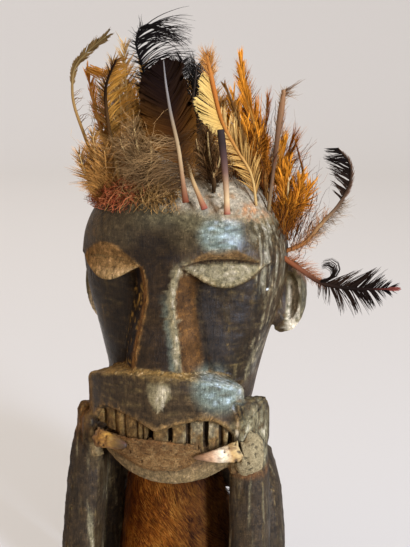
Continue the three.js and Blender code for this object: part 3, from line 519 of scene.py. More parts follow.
def woodTint(points, triangles, edges):
    normals = normalsOf(points, triangles)
    m = faceMasks(points, normals)
    x, y, z = points.T
    wide = np.abs(x)
    hollow = dots(relaxed(points, edges, 4, 0.6) - points, normals)
    hollowWide = dots(relaxed(points, edges, 25, 0.6) - points, normals)
    cloud = layeredNoise(points, 9, 31)
    fine = layeredNoise(points, 2.2, 32)
    streak = layeredNoise(points, (2.2, 2.2, 26), 33)
    flat = layeredNoise(points, (10, 10, 1.6), 34)

    tint = np.tile(toLinear("#3b2a1b"), (len(points), 1))
    paint = painter(tint)
    gloss = 0.7 + 0.3 * cloud
    paint("#5a4731", soft(0.05, 0.8, cloud) * 0.8)
    paint("#22170d", soft(0.0, 0.8, -cloud) * 0.8)
    # forehead, darker and brown towards the nose, with a film of dust under the crown
    forehead = soft(222, 234, z) * soft(0, -20, y)
    paint("#40362a", forehead * 0.6)
    paint("#1e130a", blob(points, (-4, -48, 226), (16, 30, 15)) * 0.85)
    paint("#5f5544", forehead * soft(238, 247, z + 4 * cloud) * soft(-30, 5, x) * 0.6)
    paint("#5d4526", blob(points, (-46, -30, 240), (16, 20, 12)) * soft(-0.3, 0.5, fine) * 0.6)
    gloss += 0.35 * forehead * soft(-10, 15, x)

    # nose and cheeks
    paint("#281b11", m.nose * 0.9)
    paint("#221810", m.cheek * 0.9)
    paint("#4d3d28", m.cheek * soft(0.1, 0.7, flat) * 0.7)
    paint("#54401f", m.cheek * soft(0.2, 0.6, streak) * 0.5)
    gloss += m.cheek * 0.2 + m.nose * 0.05
    right = soft(-1, 1, x)      # the viewer's right
    left = 1 - right
    bevelTint = np.where(right[:, None] > 0.5, toLinear("#4c2f12"), toLinear("#4a2d13"))
    bevelTint = bevelTint * (1 + 0.5 * fine + 0.3 * cloud + 0.3 * streak)[:, None]
    tint += (bevelTint - tint) * (m.bevel * 0.92)[:, None]
    gloss -= m.bevel * 0.5 + m.groove * 0.7
    # painted shade in the groove beside the nose, deep on the viewer's left, faint on the right
    paint("#120a05", m.groove * np.where(x > 0, 0.3, 0.9) * soft(-0.5, 0.4, fine + 0.2))
    paint("#8d6a38", m.groove * left * soft(0.35, 0.6, noise(points, (1.5, 1.5, 2.5), 41)))
    fromEdge = wide - noseEdge(z)
    # the nose's right edge, turned to the window: a bluish-grey painted highlight band beside it, and a pale
    # line that is worn, dusty edge with a painted highlight
    litNoseEdge = (m.nose + m.bevel) * right
    gloss -= m.cheek * soft(24, 15, fromEdge) * 0.45
    paint("#56564f", litNoseEdge * soft(-6.5, -4.5, fromEdge) * soft(-1.6, -2.6, fromEdge) * soft(208, 194, z) * 0.8)
    paint("#877860", litNoseEdge * soft(-3.2, -1.8, fromEdge + 0.4 * fine) * soft(1.6, 0.7, fromEdge) * (
        0.7 + 0.3 * streak))
    strip = (m.nose + m.bevel) * left * soft(-1.5, -0.3, fromEdge) * soft(4, 2.6, fromEdge + 0.6 * fine)
    paint("#76502a", strip * soft(-1.0, 0.0, fine + 0.5 * streak) * 0.9)
    # on the viewer's left bevel, away from the light: a black crust with golden specks, its darkness partly
    # painted shade
    crustAndShade = left * m.bevel * soft(3, 4.2, fromEdge)
    paint("#120b06", crustAndShade * 0.85)
    paint("#94703a", crustAndShade * soft(0.3, 0.6, noise(points, (1.7, 1.7, 2.6), 48)) * 0.9)
    gloss += litNoseEdge * soft(-5, -3, fromEdge) * soft(0.5, -1, fromEdge) * 0.2

    # eyes: a dry, speckled skin of pale clay on the figure's left one, orange-brown dust on the other
    rightLid = m.lid * right
    paint("#83745c", rightLid * (0.9 + 0.1 * fine))
    paint("#5c5140", rightLid * soft(0.2, 0.6, layeredNoise(points, 1.3, 36)) * 0.8)
    paint("#6a4c2e", m.upper * right * 0.85)
    paint("#8f6a42", m.inside * left * 0.92)
    paint("#a07f55", m.inside * left * soft(219, 216, z - 0.12 * (x + 11)) * 0.7)
    paint("#5f4326", m.inside * left * soft(0.0, 0.6, cloud + 0.3 * streak) * 0.7)
    paint("#5a3c1f", m.upper * left * 0.5)
    # painted shade in the crease under the brow: strong on the figure's left eye, faint on the other
    paint("#140d07", m.slot * np.where(x > 0, 0.85, 0.12))
    gloss -= m.inside * 0.7
    corner = blob(points, (16, -48, 218), (8, 12, 5))
    paint("#8d7d66", corner * soft(-0.5, 0.5, fine) * 0.8)

    # muzzle: dark and polished in front, dusty on its ledge and its worn ends, one pale facet in the middle
    # that is dust with a painted highlight
    paint("#382a1e", m.muzzle * 0.9)
    paint("#665237", m.muzzle * soft(0.1, 0.7, flat + 0.4 * fine) * 0.7)
    gloss += m.muzzle * 0.3
    rise = np.clip((z - 136.7) / 16, 0, 1)
    halfWidth = 6.2 * np.sin(math.pi / 2 * np.minimum(rise * 1.35, 1)) ** 0.8 + 0.3 * fine
    facetDustAndHighlight = m.muzzle * soft(halfWidth + 1.2, halfWidth - 1.2, np.abs(x - 2))
    facetDustAndHighlight = facetDustAndHighlight * soft(136, 138, z) * soft(155, 151, z)
    # the facet's dust and its painted highlight, brighter towards the viewer's right
    paint("#9a896c", facetDustAndHighlight * (0.45 + 0.55 * soft(-3, 3, x - 2)) * soft(-1.3, -0.3, fine + 0.3 * flat))
    worn = m.muzzle * np.maximum(soft(43.5, 46.5, wide + 1.2 * cloud), soft(154, 158, z + 1.5 * fine))
    paint("#715634", worn * 0.8)
    paint("#7c5c33", m.ledge * soft(-0.9, 0.2, fine) * 0.9)
    paint("#b39468", m.ledge * soft(0.1, 0.5, layeredNoise(points, 1.6, 43)) * 0.7)
    lipEdge = m.muzzle * soft(0.03, 0.16, -hollow) * soft(139, 133, z)
    paint("#7d5c3a", lipEdge * soft(-0.8, 0.1, fine) * 0.9)
    gloss -= worn * 0.6 + m.ledge * 0.8 + facetDustAndHighlight * 0.3 + lipEdge * 0.5

    # mouth, teeth and jaw
    paint("#664a2b", m.mouth * 0.85)
    paint("#8f6f41", m.mouth * soft(0.0, 0.7, fine + 0.4 * cloud) * 0.7)
    paint("#6e675a", m.mouth * soft(0, 8, x) * soft(-0.3, 0.5, cloud + 0.5 * fine) * 0.6)
    # painted shade in the gaps between the carved teeth and, near-black, in the viewer's left corner of the
    # mouth
    paint("#1a1008", m.toothGap * 0.85)
    paint("#0c0704", blob(points, (-45, -44, 119), (4, 9, 5)) * 0.9)
    paint("#5a4028", m.jaw * 0.9)
    jawFoot = blob(points, (0, -66, 88), (46, 30, 10.5))
    paint("#7f684c", np.maximum(m.jaw, jawFoot) * soft(103, 94, z - 0.006 * x ** 2 + 2 * cloud) * 0.75)
    gloss -= m.mouth * 0.5 + m.jaw * 0.3

    # arms and hands: dark smooth wood with long pale and dark upright streaks
    broad = layeredNoise(points, (5, 5, 70), 42)
    paint("#33261a", m.arms * 0.8)
    paint("#867862", m.arms * soft(0.15, 0.6, 0.6 * streak + 0.6 * broad) * 0.7)
    paint("#1f160d", m.arms * soft(0.1, 0.5, -broad) * 0.65)
    gloss -= m.arms * 0.12
    paint("#17100a", handScratches(points) * 0.8)
    ring = blob(points, (48, -34, 97), (15, 16, 4.5))
    paint("#6b4224", ring * soft(-0.8, 0.2, fine) * 0.8)
    gloss -= ring * 0.4
    # a pale patch of painted light on the upper arm where it shows behind the forearm
    paint("#8f8c7c", blob(points, (38, 0, 80), (5, 14, 16)) * 0.7)
    # brown crust over the right hand, pale scratches on the worn left end of the muzzle
    paint("#64421f", blob(points, (-56, -32, 128), (13, 22, 26)) * soft(-0.9, 0.1, fine + 0.5 * cloud) * 0.9)
    paint("#b0a184", blob(points, (46, -42, 157), (11, 14, 7)) * soft(
        0.05, 0.35, layeredNoise(points, (6, 6, 1.1), 44)) * 0.9)
    # painted highlight: the bluish reflection of the window light on the old polish of the forehead and the
    # muzzle
    windowSheen = np.maximum(blob(points, (35, -45, 238), (13, 16, 11)), blob(points, (36, -48, 151), (17, 16, 15)))
    paint("#7f8884", windowSheen * soft(-1.1, 0.4, flat + 0.6 * fine) * 0.75)
    gloss += 0.4 * windowSheen
    paint("#a09276", blob(points, (51, -36, 116), (15, 17, 20)) * soft(
        -0.5, 0.4, fine + 0.6 * cloud) * (1 - ring) * 0.85)
    paint("#675d4e", blob(points, (50, -30, 131), (9, 14, 13)) * soft(-0.6, 0.5, fine + 0.5 * streak) * 0.9)
    temple = soft(46, 54, x) * soft(195, 212, z) * soft(262, 245, z) * soft(10, -5, y)
    paint("#908474", temple * soft(-0.1, 0.4, layeredNoise(points, (1.6, 1.6, 20), 37)) * 0.6)
    # the side of the head behind the cheek, where it turns to the window on the viewer's right: painted light
    # in pale streaks
    paleLitSide = soft(0.62, 0.9, normals[:, 0]) * soft(30, 42, x) * soft(140, 150, z)
    paleLitSide = paleLitSide * soft(222, 205, z) * (1 - m.ears)
    paint("#857661", paleLitSide * soft(0.0, 0.6, streak + 0.4 * fine) * 0.7)

    # dust: pale on the crown, brown in the hollows, and painted shade, near-black, in the deepest hollows
    crown = m.crown * soft(-0.75, 0.25, cloud + 0.4 * fine + 1.4 * m.crown - 0.5)
    paint("#96846c", crown * 0.95)
    paint("#8f5f3a", crown * soft(0.1, 0.6, layeredNoise(points, 6, 38)) * 0.6)
    paint("#787570", crown * soft(0.2, 0.7, layeredNoise(points, 8, 39)) * 0.6)
    paint("#9a6640", crown * blob(points, (51, -28, 248), (13, 16, 8)) * soft(-0.5, 0.2, fine) * 0.9)
    paint("#33231a", crown * soft(0.5, 0.7, noise(points, 3.0, 45)) * 0.8)
    gloss -= crown * 0.8
    settled = soft(0.05, 0.4, hollow) * 0.5 + soft(0.4, 2.2, hollowWide) * 0.55
    paint("#5f4226", np.clip(settled, 0, 1) * soft(-0.6, 0.5, fine))
    # painted shade in the deepest hollows
    paint("#120c07", soft(0.22, 0.6, hollow) * 0.7)
    gloss -= settled * 0.6
    # polished or worn edges show the lighter wood
    paint("#7d6745", soft(0.07, 0.32, -hollow) * soft(-0.5, 0.4, fine) * 0.55)
    # ears: the lower bowl painted pale, its top in shadow, the rim dark
    bowl = m.ears * soft(71.5, 69, wide) * soft(208, 194, z)
    paint("#b5a283", bowl * soft(-1.2, -0.1, fine + cloud) * 0.95)
    paint("#5f5545", m.ears * soft(69.5, 71.5, wide) * 0.85)
    for speck in ((52, -30, 200.7), (56.1, -28, 202.8)):
        away = np.hypot(x - speck[0], z - speck[2])
        paint("#efe8d8", soft(0.8, 0.3, away) * soft(0, -10, y))
    # small dark pits and pale specks all over
    grit = noise(points, (1.1, 1.1, 1.6), 47)
    tint = tint * np.interp(grit * (1 - 0.6 * crown), [-0.8, -0.3, 0.3, 0.8], [0.45, 0.9, 1.05, 1.7])[:, None]
    dark = soft(0.3, 0.08, tint.mean(axis=1))[:, None]
    tint = tint * (1 - dark * [0.18, 0.2, 0.42])
    return np.clip(tint, 0.002, 1), np.clip(gloss, 0, 1)


woodMaterial = agedHardwood()
woodPoints, woodTriangles, woodEdges = carveWood()
woodColour, woodGloss = woodTint(woodPoints, woodTriangles, woodEdges)
figure = objectFrom("carved_wood", woodPoints, [woodTriangles], woodColour, {"gloss": woodGloss})
finished(figure, woodMaterial, "wooden_figure")
print("wood done")


# Hide: a piece of short-haired fur skin wrapped round the torso

hide = {
    "hairs": 32000,
    "length": (5.0, 9.5),   # mm
    "width": 0.48,          # coarser than real hair, so that it shows
    "skinVoxel": 1.5,       # mm
    "lie": 0.3,             # how far the hairs stand off the skin
    "swirl": 0.7,
    "colours": "#200d03 #57290b #8a4b12 #b87a30",
    "olive": "#4a3a1c",     # the duller hair on the figure's left side
}


def tannedHide():
    # Fur skin with the hair on: coarse, dusty hair, almost without a sheen
    material, tree, shader = newMaterial("fur_hide_with_short_hair", 0.75, 0.05)
    patches = pattern(tree, (4, 4, 9))
    return surfaced(material, tree, shader, [(patches, [(0.3, 0.6), (0.55, 1.0), (0.75, 1.35)])])


def surfaceSpots(points, triangles, count, rng, wanted):
    a, b, c = (points[triangles[:, k]] for k in range(3))
    normal = np.cross(b - a, c - a)
    area = np.linalg.norm(normal, axis=1) * wanted((a + b + c) / 3, unit(normal))
    pick = rng.choice(len(triangles), count, p=area / area.sum())
    u, v = rng.random(count), rng.random(count)
    flip = u + v > 1
    u, v = np.where(flip, 1 - u, u), np.where(flip, 1 - v, v)
    return a[pick] + u[:, None] * (b - a)[pick] + v[:, None] * (c - a)[pick], unit(normal)[pick]


def wrapHide():
    points, triangles, normals = evenSkin("hide_wrap", hide["skinVoxel"], 8)
    points = points + normals * (0.45 * layeredNoise(points, (7, 7, 10), 51))[:, None]
    skinTint = np.tile(toLinear("#4a2410"), (len(points), 1))
    bundle = Bundle()
    bundle.add(points, np.zeros((0, 4), dtype=int), skinTint, triangles)
    rng = np.random.default_rng(5)
    centre = np.array([-4.0, -3.0, 0])
    root, normal = surfaceSpots(points, triangles, hide["hairs"], rng, lambda p, n: (
        dots(n, unit((p - centre) * [1, 1, 0])) > 0.1) * np.where(p[:, 1] < 5, 1.0, 0.55))
    swirl = 0.55 + hide["swirl"] * layeredNoise(root, (24, 24, 30), 52, 2) + 0.25 * noise(root, (5, 5, 8), 53)
    down = np.array([0.0, 0, -1.0])
    side = unit(np.cross(normal, down))
    flow = unit(np.cos(swirl)[:, None] * unit(np.cross(side, normal)) + np.sin(swirl)[:, None] * side)
    length = rng.uniform(*hide["length"], len(root)) * (0.75 + 0.25 * noise(root, 9, 54))
    s = np.array([0, 0.5, 1.0])
    stand = hide["lie"] * (1 + 0.7 * noise(root, (4, 4, 6), 55))
    path = root[:, None, :] + length[:, None, None] * (
        s[None, :, None] * flow[:, None, :] + (stand[:, None] * (s - 0.55 * s ** 2)[None, :])[..., None]
        * normal[:, None, :]) + rng.normal(0, 0.25, (len(root), 3, 3)) * s[None, :, None]
    path[..., 2] = np.maximum(path[..., 2], 0.6)
    widths = hide["width"] * np.array([0.9, 0.8, 0.15])[None, :] * rng.uniform(0.7, 1.3, (len(root), 1))
    across = np.repeat(unit(np.cross(flow, normal))[:, None, :], 3, axis=1)
    place = np.clip(0.45 + 0.38 * layeredNoise(root, (10, 10, 22), 56) + 0.18 * noise(root, (2.2, 2.2, 7), 57)
                    + rng.normal(0, 0.2, len(root)) + 0.14 * soft(10, -18, root[:, 0]) - 0.05, 0, 1)
    place = place[:, None] * np.array([0.55, 0.9, 1.1])[None, :]
    colours = readColours(hide["colours"], np.clip(place, 0, 1).ravel()).reshape(-1, 3)
    olive = np.repeat(soft(-22, 14, root[:, 0] + 0.25 * (root[:, 2] - 60)), 3) * 0.55
    colours = mixTint(colours, hide["olive"], olive * colours.sum(axis=1).clip(0, 0.4) * 2.5)
    shaded = soft(-2, 20, root[:, 0]) * soft(40, -10, root[:, 1])
    colours = colours * (1 - 0.45 * np.repeat(shaded, 3))[:, None]
    bundle.add(*ribbons(path, widths, across, colours.reshape(len(root), 3, 3)))
    finished(bundle.piece("hide_with_hair"), tannedHide(), "hide_wrap")


# Animal teeth in the corners of the mouth

teeth = {
    # centre line from tip to root, half height and half depth at the root, how fast it widens, and
    # bumps and pits in mm; "dull" is how matt it is all over
    "left": {"path": [(22, -56, 109.2), (34, -53.4, 110.4), (47.5, -47, 112.6)],
             "high": 6.6, "deep": 4.6, "taper": 0.8, "bumps": 0.6, "pits": 1.5, "dull": 0.1,
             # the pale fourth colour is a painted highlight across the tooth
             "colours": "#4a3018 #7a5638 #a8805c #cfb894 #a07a44 #b0935f"},
    "right": {"path": [(-18.5, -57.6, 112.6), (-29, -54.8, 112.6), (-39.5, -49.8, 112.4)],
              "high": 6.1, "deep": 4.8, "taper": 0.5, "bumps": 1.5, "pits": 2.0, "dull": 0.7,
              "colours": "#2a1a0a #4d3411 #72501c #8f6422 #7a5018 #4d300c"},
}


def toothEnamel():
    # Old tooth: smooth enamel stained by resin and smoke, with a soft gloss, matt where the root is broken
    material, tree, shader = newMaterial("stained_tooth_enamel", 0.5, 0.35)
    matt = addNode(tree, "ShaderNodeAttribute", {"attribute_name": "matt"}).outputs["Fac"]
    rough = addNode(tree, "ShaderNodeMapRange", {"To Min": 0.28, "To Max": 0.85}, {"Value": matt})
    tree.links.new(rough.outputs["Result"], shader.inputs["Roughness"])
    streaks = pattern(tree, (3, 0.5, 0.5))
    return surfaced(material, tree, shader, [(streaks, [(0.3, 0.75), (0.6, 1.1)])],
                    pattern(tree, (0.8, 0.8, 0.8), 3), 0.15, 0.5)


def setTeeth():
    material = toothEnamel()
    rings, hollowRings, sides = 64, 26, 40      # the last of them line the broken, hollow root
    share = np.linspace(0, 1, rings)
    turn = 2 * math.pi * np.arange(sides) / sides
    for k, (side, tooth) in enumerate(teeth.items()):
        line = smoothPath(tooth["path"], rings)
        along = unit(np.gradient(line, axis=0))
        size = 0.08 + 0.92 * share ** tooth["taper"]
        across = unit(np.cross([0, 0, 1.0], along))
        up = np.cross(along, across)
        high, deep = (size * tooth["high"])[:, None, None], (size * tooth["deep"])[:, None, None]
        shape = high * np.cos(turn)[None, :, None] * up[:, None, :]
        shape = shape + deep * np.sin(turn)[None, :, None] * across[:, None, :]
        outer = line[:, None, :] + shape
        flat = outer.reshape(-1, 3)
        bumps = tooth["bumps"] * layeredNoise(flat, 3.0, 61 + k) * np.repeat(share, sides)
        pits = tooth["pits"] * soft(0.25, 0.75, noise(flat, 2.0, 63 + k)) * np.repeat(
            soft(0.45, 0.8, share), sides)
        outer = outer + unit(shape) * (bumps - 0.9 * pits).reshape(rings, sides, 1)
        ragged = 1.6 * noise(outer[-1], 2.4, 65 + k)
        outer = outer + along[:, None, :] * (ragged[None, :] * soft(0.7, 1, share)[:, None])[..., None]
        core = line[::-1][:hollowRings, None, :]
        narrower = np.linspace(0.78, 0.45, hollowRings)[:, None, None]
        inner = core + (outer[::-1][:hollowRings] - core) * narrower
        grid = np.vstack([outer.reshape(-1, 3), inner.reshape(-1, 3), line[:1], inner[-1].mean(axis=0)[None]])
        quads, caps = ringFaces(rings + hollowRings, sides)
        quads, caps = np.roll(quads[:, ::-1], 1, axis=1), caps[:, ::-1]
        shares = np.concatenate([np.repeat(share, sides), np.full(hollowRings * sides, 1.0), [0, 1]])
        # dark: the pits as stains, and the lining of the hollow root as painted shade
        dark = np.concatenate([pits, np.full(hollowRings * sides, 0.75), [0, 1]])
        tint = readColours(tooth["colours"], shares)
        tint = tint * (1 + 0.5 * layeredNoise(grid, (2.5, 1.2, 1.2), 69 + k))[:, None]
        tint = mixTint(tint, "#4a240e", soft(0.0, 0.4, layeredNoise(grid, (5, 1.2, 1.2), 67 + k)) * 0.6)
        tint = np.clip(mixTint(tint, "#160b05", np.clip(dark, 0, 1) * 0.85), 0.002, 1)
        matt = np.clip(soft(0.55, 0.95, shares) + dark + tooth["dull"], 0, 1)
        made = objectFrom("tooth_" + side, grid, [quads, caps], tint, {"matt": matt})
        finished(made, material, "animal_tooth_" + side)


# Paste of resin and clay round the mouth

pasteVoxel = 0.5        # mm

def dryPaste():
    # Resin kneaded with clay and dried: matt, porous and full of grit, drawn twice as coarse as it is
    material, tree, shader = newMaterial("dried_resin_and_clay", 0.95, 0.1)
    grit = pattern(tree, (0.9, 0.9, 0.8), 5, 0.8)
    return surfaced(material, tree, shader,
                    [(grit, [(0.36, 0.3), (0.46, 0.85), (0.56, 1.1), (0.66, 1.8)])], grit, 0.7)


def packMouth():
    paste = dryPaste()
    points, triangles, normals = evenSkin("mouth_packing", pasteVoxel, 12)
    x, _, z = points.T
    lip = soft(47, 44, np.abs(x + 3)) * soft(120, 117, z)
    pores = soft(0.5, 0.85, noise(points, (1.5, 1.5, 1.2), 71))
    cracks = fissures(points, (16, 16, 3.6), 72, 0.12) * lip * soft(-0.1, 0.5, noise(points, 6, 76))
    push = 0.7 * layeredNoise(points, (5, 5, 4), 73) - 0.7 * pores - 0.5 * cracks
    points = points + normals * push[:, None]
    fine = layeredNoise(points, (2.4, 2.4, 1.4), 74)
    cloud = layeredNoise(points, 8, 75)
    tint = np.tile(toLinear("#5e4020"), (len(points), 1))
    paint = painter(tint)
    paint("#59381c", soft(-30, -44, x) * 0.8)
    paint("#74431c", lip * soft(113, 118, z + 2 * cloud) * 0.35)
    paint("#7d5f38", lip * soft(-0.3, 0.5, fine + 0.5 * cloud) * 0.7)
    paint("#3b2512", soft(0.0, 0.8, -cloud) * 0.6)
    paint("#2a1d11", np.clip(pores * 0.6 + cracks * 0.4, 0, 1))
    # painted shade, near-black, in the viewer's left corner of the mouth
    paint("#0c0704", blob(points, (-45, -46, 119), (4, 9, 5)) * 0.9)
    finished(objectFrom("mouth_paste", points, [triangles], tint), paste, "mouth_packing")

    points, triangles, normals = evenSkin("clay_lump_left", pasteVoxel, 12)
    pores = soft(0.3, 0.7, noise(points, 1.9, 77))
    fine = layeredNoise(points, 2.4, 78)
    push = 0.6 * layeredNoise(points, 4, 79) - 0.7 * pores
    points = points + normals * push[:, None]
    tint = np.tile(toLinear("#83704e"), (len(points), 1)) * (1 + 0.3 * fine)[:, None]
    paint = painter(tint)
    paint("#5a4224", soft(0.0, 0.6, layeredNoise(points, 6, 80)) * 0.6)
    paint("#221a10", pores * 0.7)
    finished(objectFrom("clay_on_hand", points, [triangles], tint), paste, "clay_lump_left")


wrapHide()
setTeeth()
packMouth()
print("hide, teeth and paste done")


# Feathers: a horny shaft with real barbs on both sides, downy near the root

frontNormal = np.array([0.27, -0.95, 0.15]) / np.linalg.norm([0.27, -0.95, 0.15])
barbDefaults = {
    "side": 1,              # 1 is the right of a feather that stands upright and faces the viewer
    "span": (0.1, 1.0),     # part of the shaft that the barbs grow from
    "length": [8, 10, 6],   # mm, along that part
    "angle": (45, 30),      # from the shaft, degrees
    "bend": 10,             # towards the tip, degrees over the barb
    "spacing": 0.4,         # mm; coarser than real barbs, so that they show
    "width": 0.5,
    "clump": 0.0,           # mm of shaft whose barbs cling together
    "uneven": 0.12,
    "mottle": 0.2,          # how much neighbouring barbs differ in brightness
    "lift": 0.06,
    "wave": 0.0,
    "scatter": 0.0,
    "steps": 5,
    "web": 0.0,             # share of their length over which neighbours hook into a closed vane
    "root": "#8a5a2a",
    "tip": "#b5722c",
}


def growBarbs(bundle, path, normal, settings, rng):
    b = SimpleNamespace(**{**barbDefaults, **settings})
    reach = np.sum(np.linalg.norm(np.diff(path, axis=0), axis=1))
    count = max(3, int(reach * (b.span[1] - b.span[0]) / b.spacing))
    t = np.sort(rng.random(count))
    place = b.span[0] + (b.span[1] - b.span[0]) * t
    base = readRows(path, place)
    along = unit(readRows(np.gradient(path, axis=0), place))
    across = unit(np.cross(along, normal))
    out = np.cross(across, along)
    across = across * b.side
    length = readList(b.length, t) * np.clip(1 + b.uneven * rng.normal(size=count), 0.3, 1.6)
    angle = np.radians(b.angle[0] + (b.angle[1] - b.angle[0]) * t) + rng.normal(0, 0.05, count)
    lift = b.lift * rng.normal(size=count)
    shade = np.clip(1 + b.mottle * rng.normal(size=count), 0.25, 2)
    gather, group = np.zeros(count), np.zeros(count, dtype=int)
    if b.clump > 0:
        spot = place * reach / b.clump + 0.4 * rng.random()
        group = np.floor(spot).astype(int)
        gather = (0.5 - (spot - group)) * b.clump * (0.8 if b.web == 0 else 0)
        pick = rng.random((group.max() + 2, 4))[group]
        angle += 0.3 * (pick[:, 0] - 0.5)
        lift += 3 * b.lift * (pick[:, 1] - 0.5)
        length *= 0.85 + 0.3 * pick[:, 2]
        shade *= 0.8 + 0.4 * pick[:, 3]
    s = np.linspace(0, 1, b.steps)
    heading = angle[:, None] - math.radians(b.bend) * s[None, :] * (1 + 0.25 * rng.normal(size=(count, 1)))
    step = np.cos(heading)[..., None] * along[:, None] + np.sin(heading)[..., None] * across[:, None]
    step = step + lift[:, None, None] * out[:, None] + b.scatter * rng.normal(size=(count, 1, 3))
    walk = np.cumsum(step, axis=1) - step[:, :1]
    points = base[:, None] + walk * (length / (b.steps - 1))[:, None, None]
    points = points + (gather[:, None] * s[None, :] ** 1.5)[..., None] * along[:, None]
    if b.wave > 0:
        phase = rng.random((count, 2, 1)) * 2 * math.pi
        swing = b.wave * s[None, :] ** 0.7
        points = points + (swing * np.sin(7 * s[None, :] + phase[:, 0]))[..., None] * out[:, None]
        points = points + (swing * np.sin(9 * s[None, :] + phase[:, 1]))[..., None] * along[:, None]
    widths = b.width * (1 - 0.85 * s[None, :] ** 1.3) * rng.uniform(0.75, 1.25, (count, 1))
    sides = unit(np.cross(step, out[:, None]) + 0.35 * rng.normal(size=(count, 1, 1)) * out[:, None])
    root, tip = readColours(b.root, t), readColours(b.tip, t)
    colours = root[:, None] + (tip - root)[:, None] * s[None, :, None]
    colours = np.clip(colours * shade[:, None, None], 0.002, 1)
    bundle.add(*ribbons(points, widths, sides, colours))
    if b.web > 0:
        # a closed sheet between neighbouring barbs that cling together
        reachOut = points[:, :1] + (points - points[:, :1]) * b.web
        hooked = np.nonzero(group[1:] == group[:-1])[0]
        a = (hooked[:, None] * b.steps + np.arange(b.steps - 1)[None, :]).ravel()
        quads = np.stack([a, a + 1, a + 1 + b.steps, a + b.steps], axis=1)
        bundle.add(reachOut.reshape(-1, 3), quads, 0.8 * colours.reshape(-1, 3))


strandDefaults = {"steps": 7, "wave": 0.6, "short": 0.6, "width": 0.4}


def growStrands(bundle, strands, rng):
    wanted = SimpleNamespace(**{**strandDefaults, **strands})
    count, steps = wanted.count, wanted.steps
    line = smoothPath(wanted.path, steps)
    s = np.linspace(0, 1, steps)
    loose = rng.normal(size=(count, 1, 3)) * np.interp(s, [0, 1], wanted.spread)[None, :, None]
    points = line[None] + loose + wanted.wave * np.cumsum(
        rng.normal(size=(count, steps, 3)), axis=1) * s[None, :, None]
    short = rng.uniform(wanted.short, 1, (count, 1, 1))
    points = points[:, :1] + (points - points[:, :1]) * short
    widths = wanted.width * (1 - 0.7 * s[None, :]) * rng.uniform(0.6, 1.3, (count, 1))
    sides = unit(np.cross(np.gradient(points, axis=1), rng.normal(size=(count, 1, 3)) + 2 * frontNormal))
    colours = readColours(wanted.colours, np.clip(
        s[None, :] * 0.5 + 0.5 * rng.random((count, 1)) + 0 * widths, 0, 1).ravel()).reshape(count, steps, 3)
    shade = rng.uniform(0.7, 1.25, (count, 1, 1))
    bundle.add(*ribbons(points, widths, sides, np.clip(colours * shade, 0.002, 1)))


def growShaft(bundle, path, radii, hexes, normal):
    share = np.linspace(0, 1, len(path))
    points, quads, caps, tint = tube(path, readList(radii, share), readColours(hexes, share), normal)
    bundle.add(points, quads, tint, caps)


# palettes run from root to tip; the darker roots are partly the feathers' own colour, partly painted shade
# deep in the crest
black = {"root": "#1d120b #120b07 #0e0906", "tip": "#2c1c11 #170f0a #120d09"}
orange = {"root": "#4f260a #6e3a10 #83480f", "tip": "#8f5119 #ad6518 #c27a22"}
brown = {"root": "#351e0b #46280c #4c2b0d", "tip": "#6b451c #754a1b #724719"}
cream = {"root": "#6b4620 #835826 #94662c", "tip": "#ab7f40 #c39550 #d2a766"}
greyDown = {"root": "#24160b #432d19", "tip": "#5a3f24 #9c774a"}
darkDown = {"root": "#120b06 #26160b", "tip": "#3b2513 #6b4a28"}
goldDown = {"root": "#3c230f #613c19", "tip": "#98652e #bd8644"}


def barbs(side, span, length, angle, **more):
    # one row of barbs, or with side 0 the same on both sides
    sides = (side,) if side else (-1, 1)
    return [{"side": each, "span": span, "length": length, "angle": angle, **more} for each in sides]


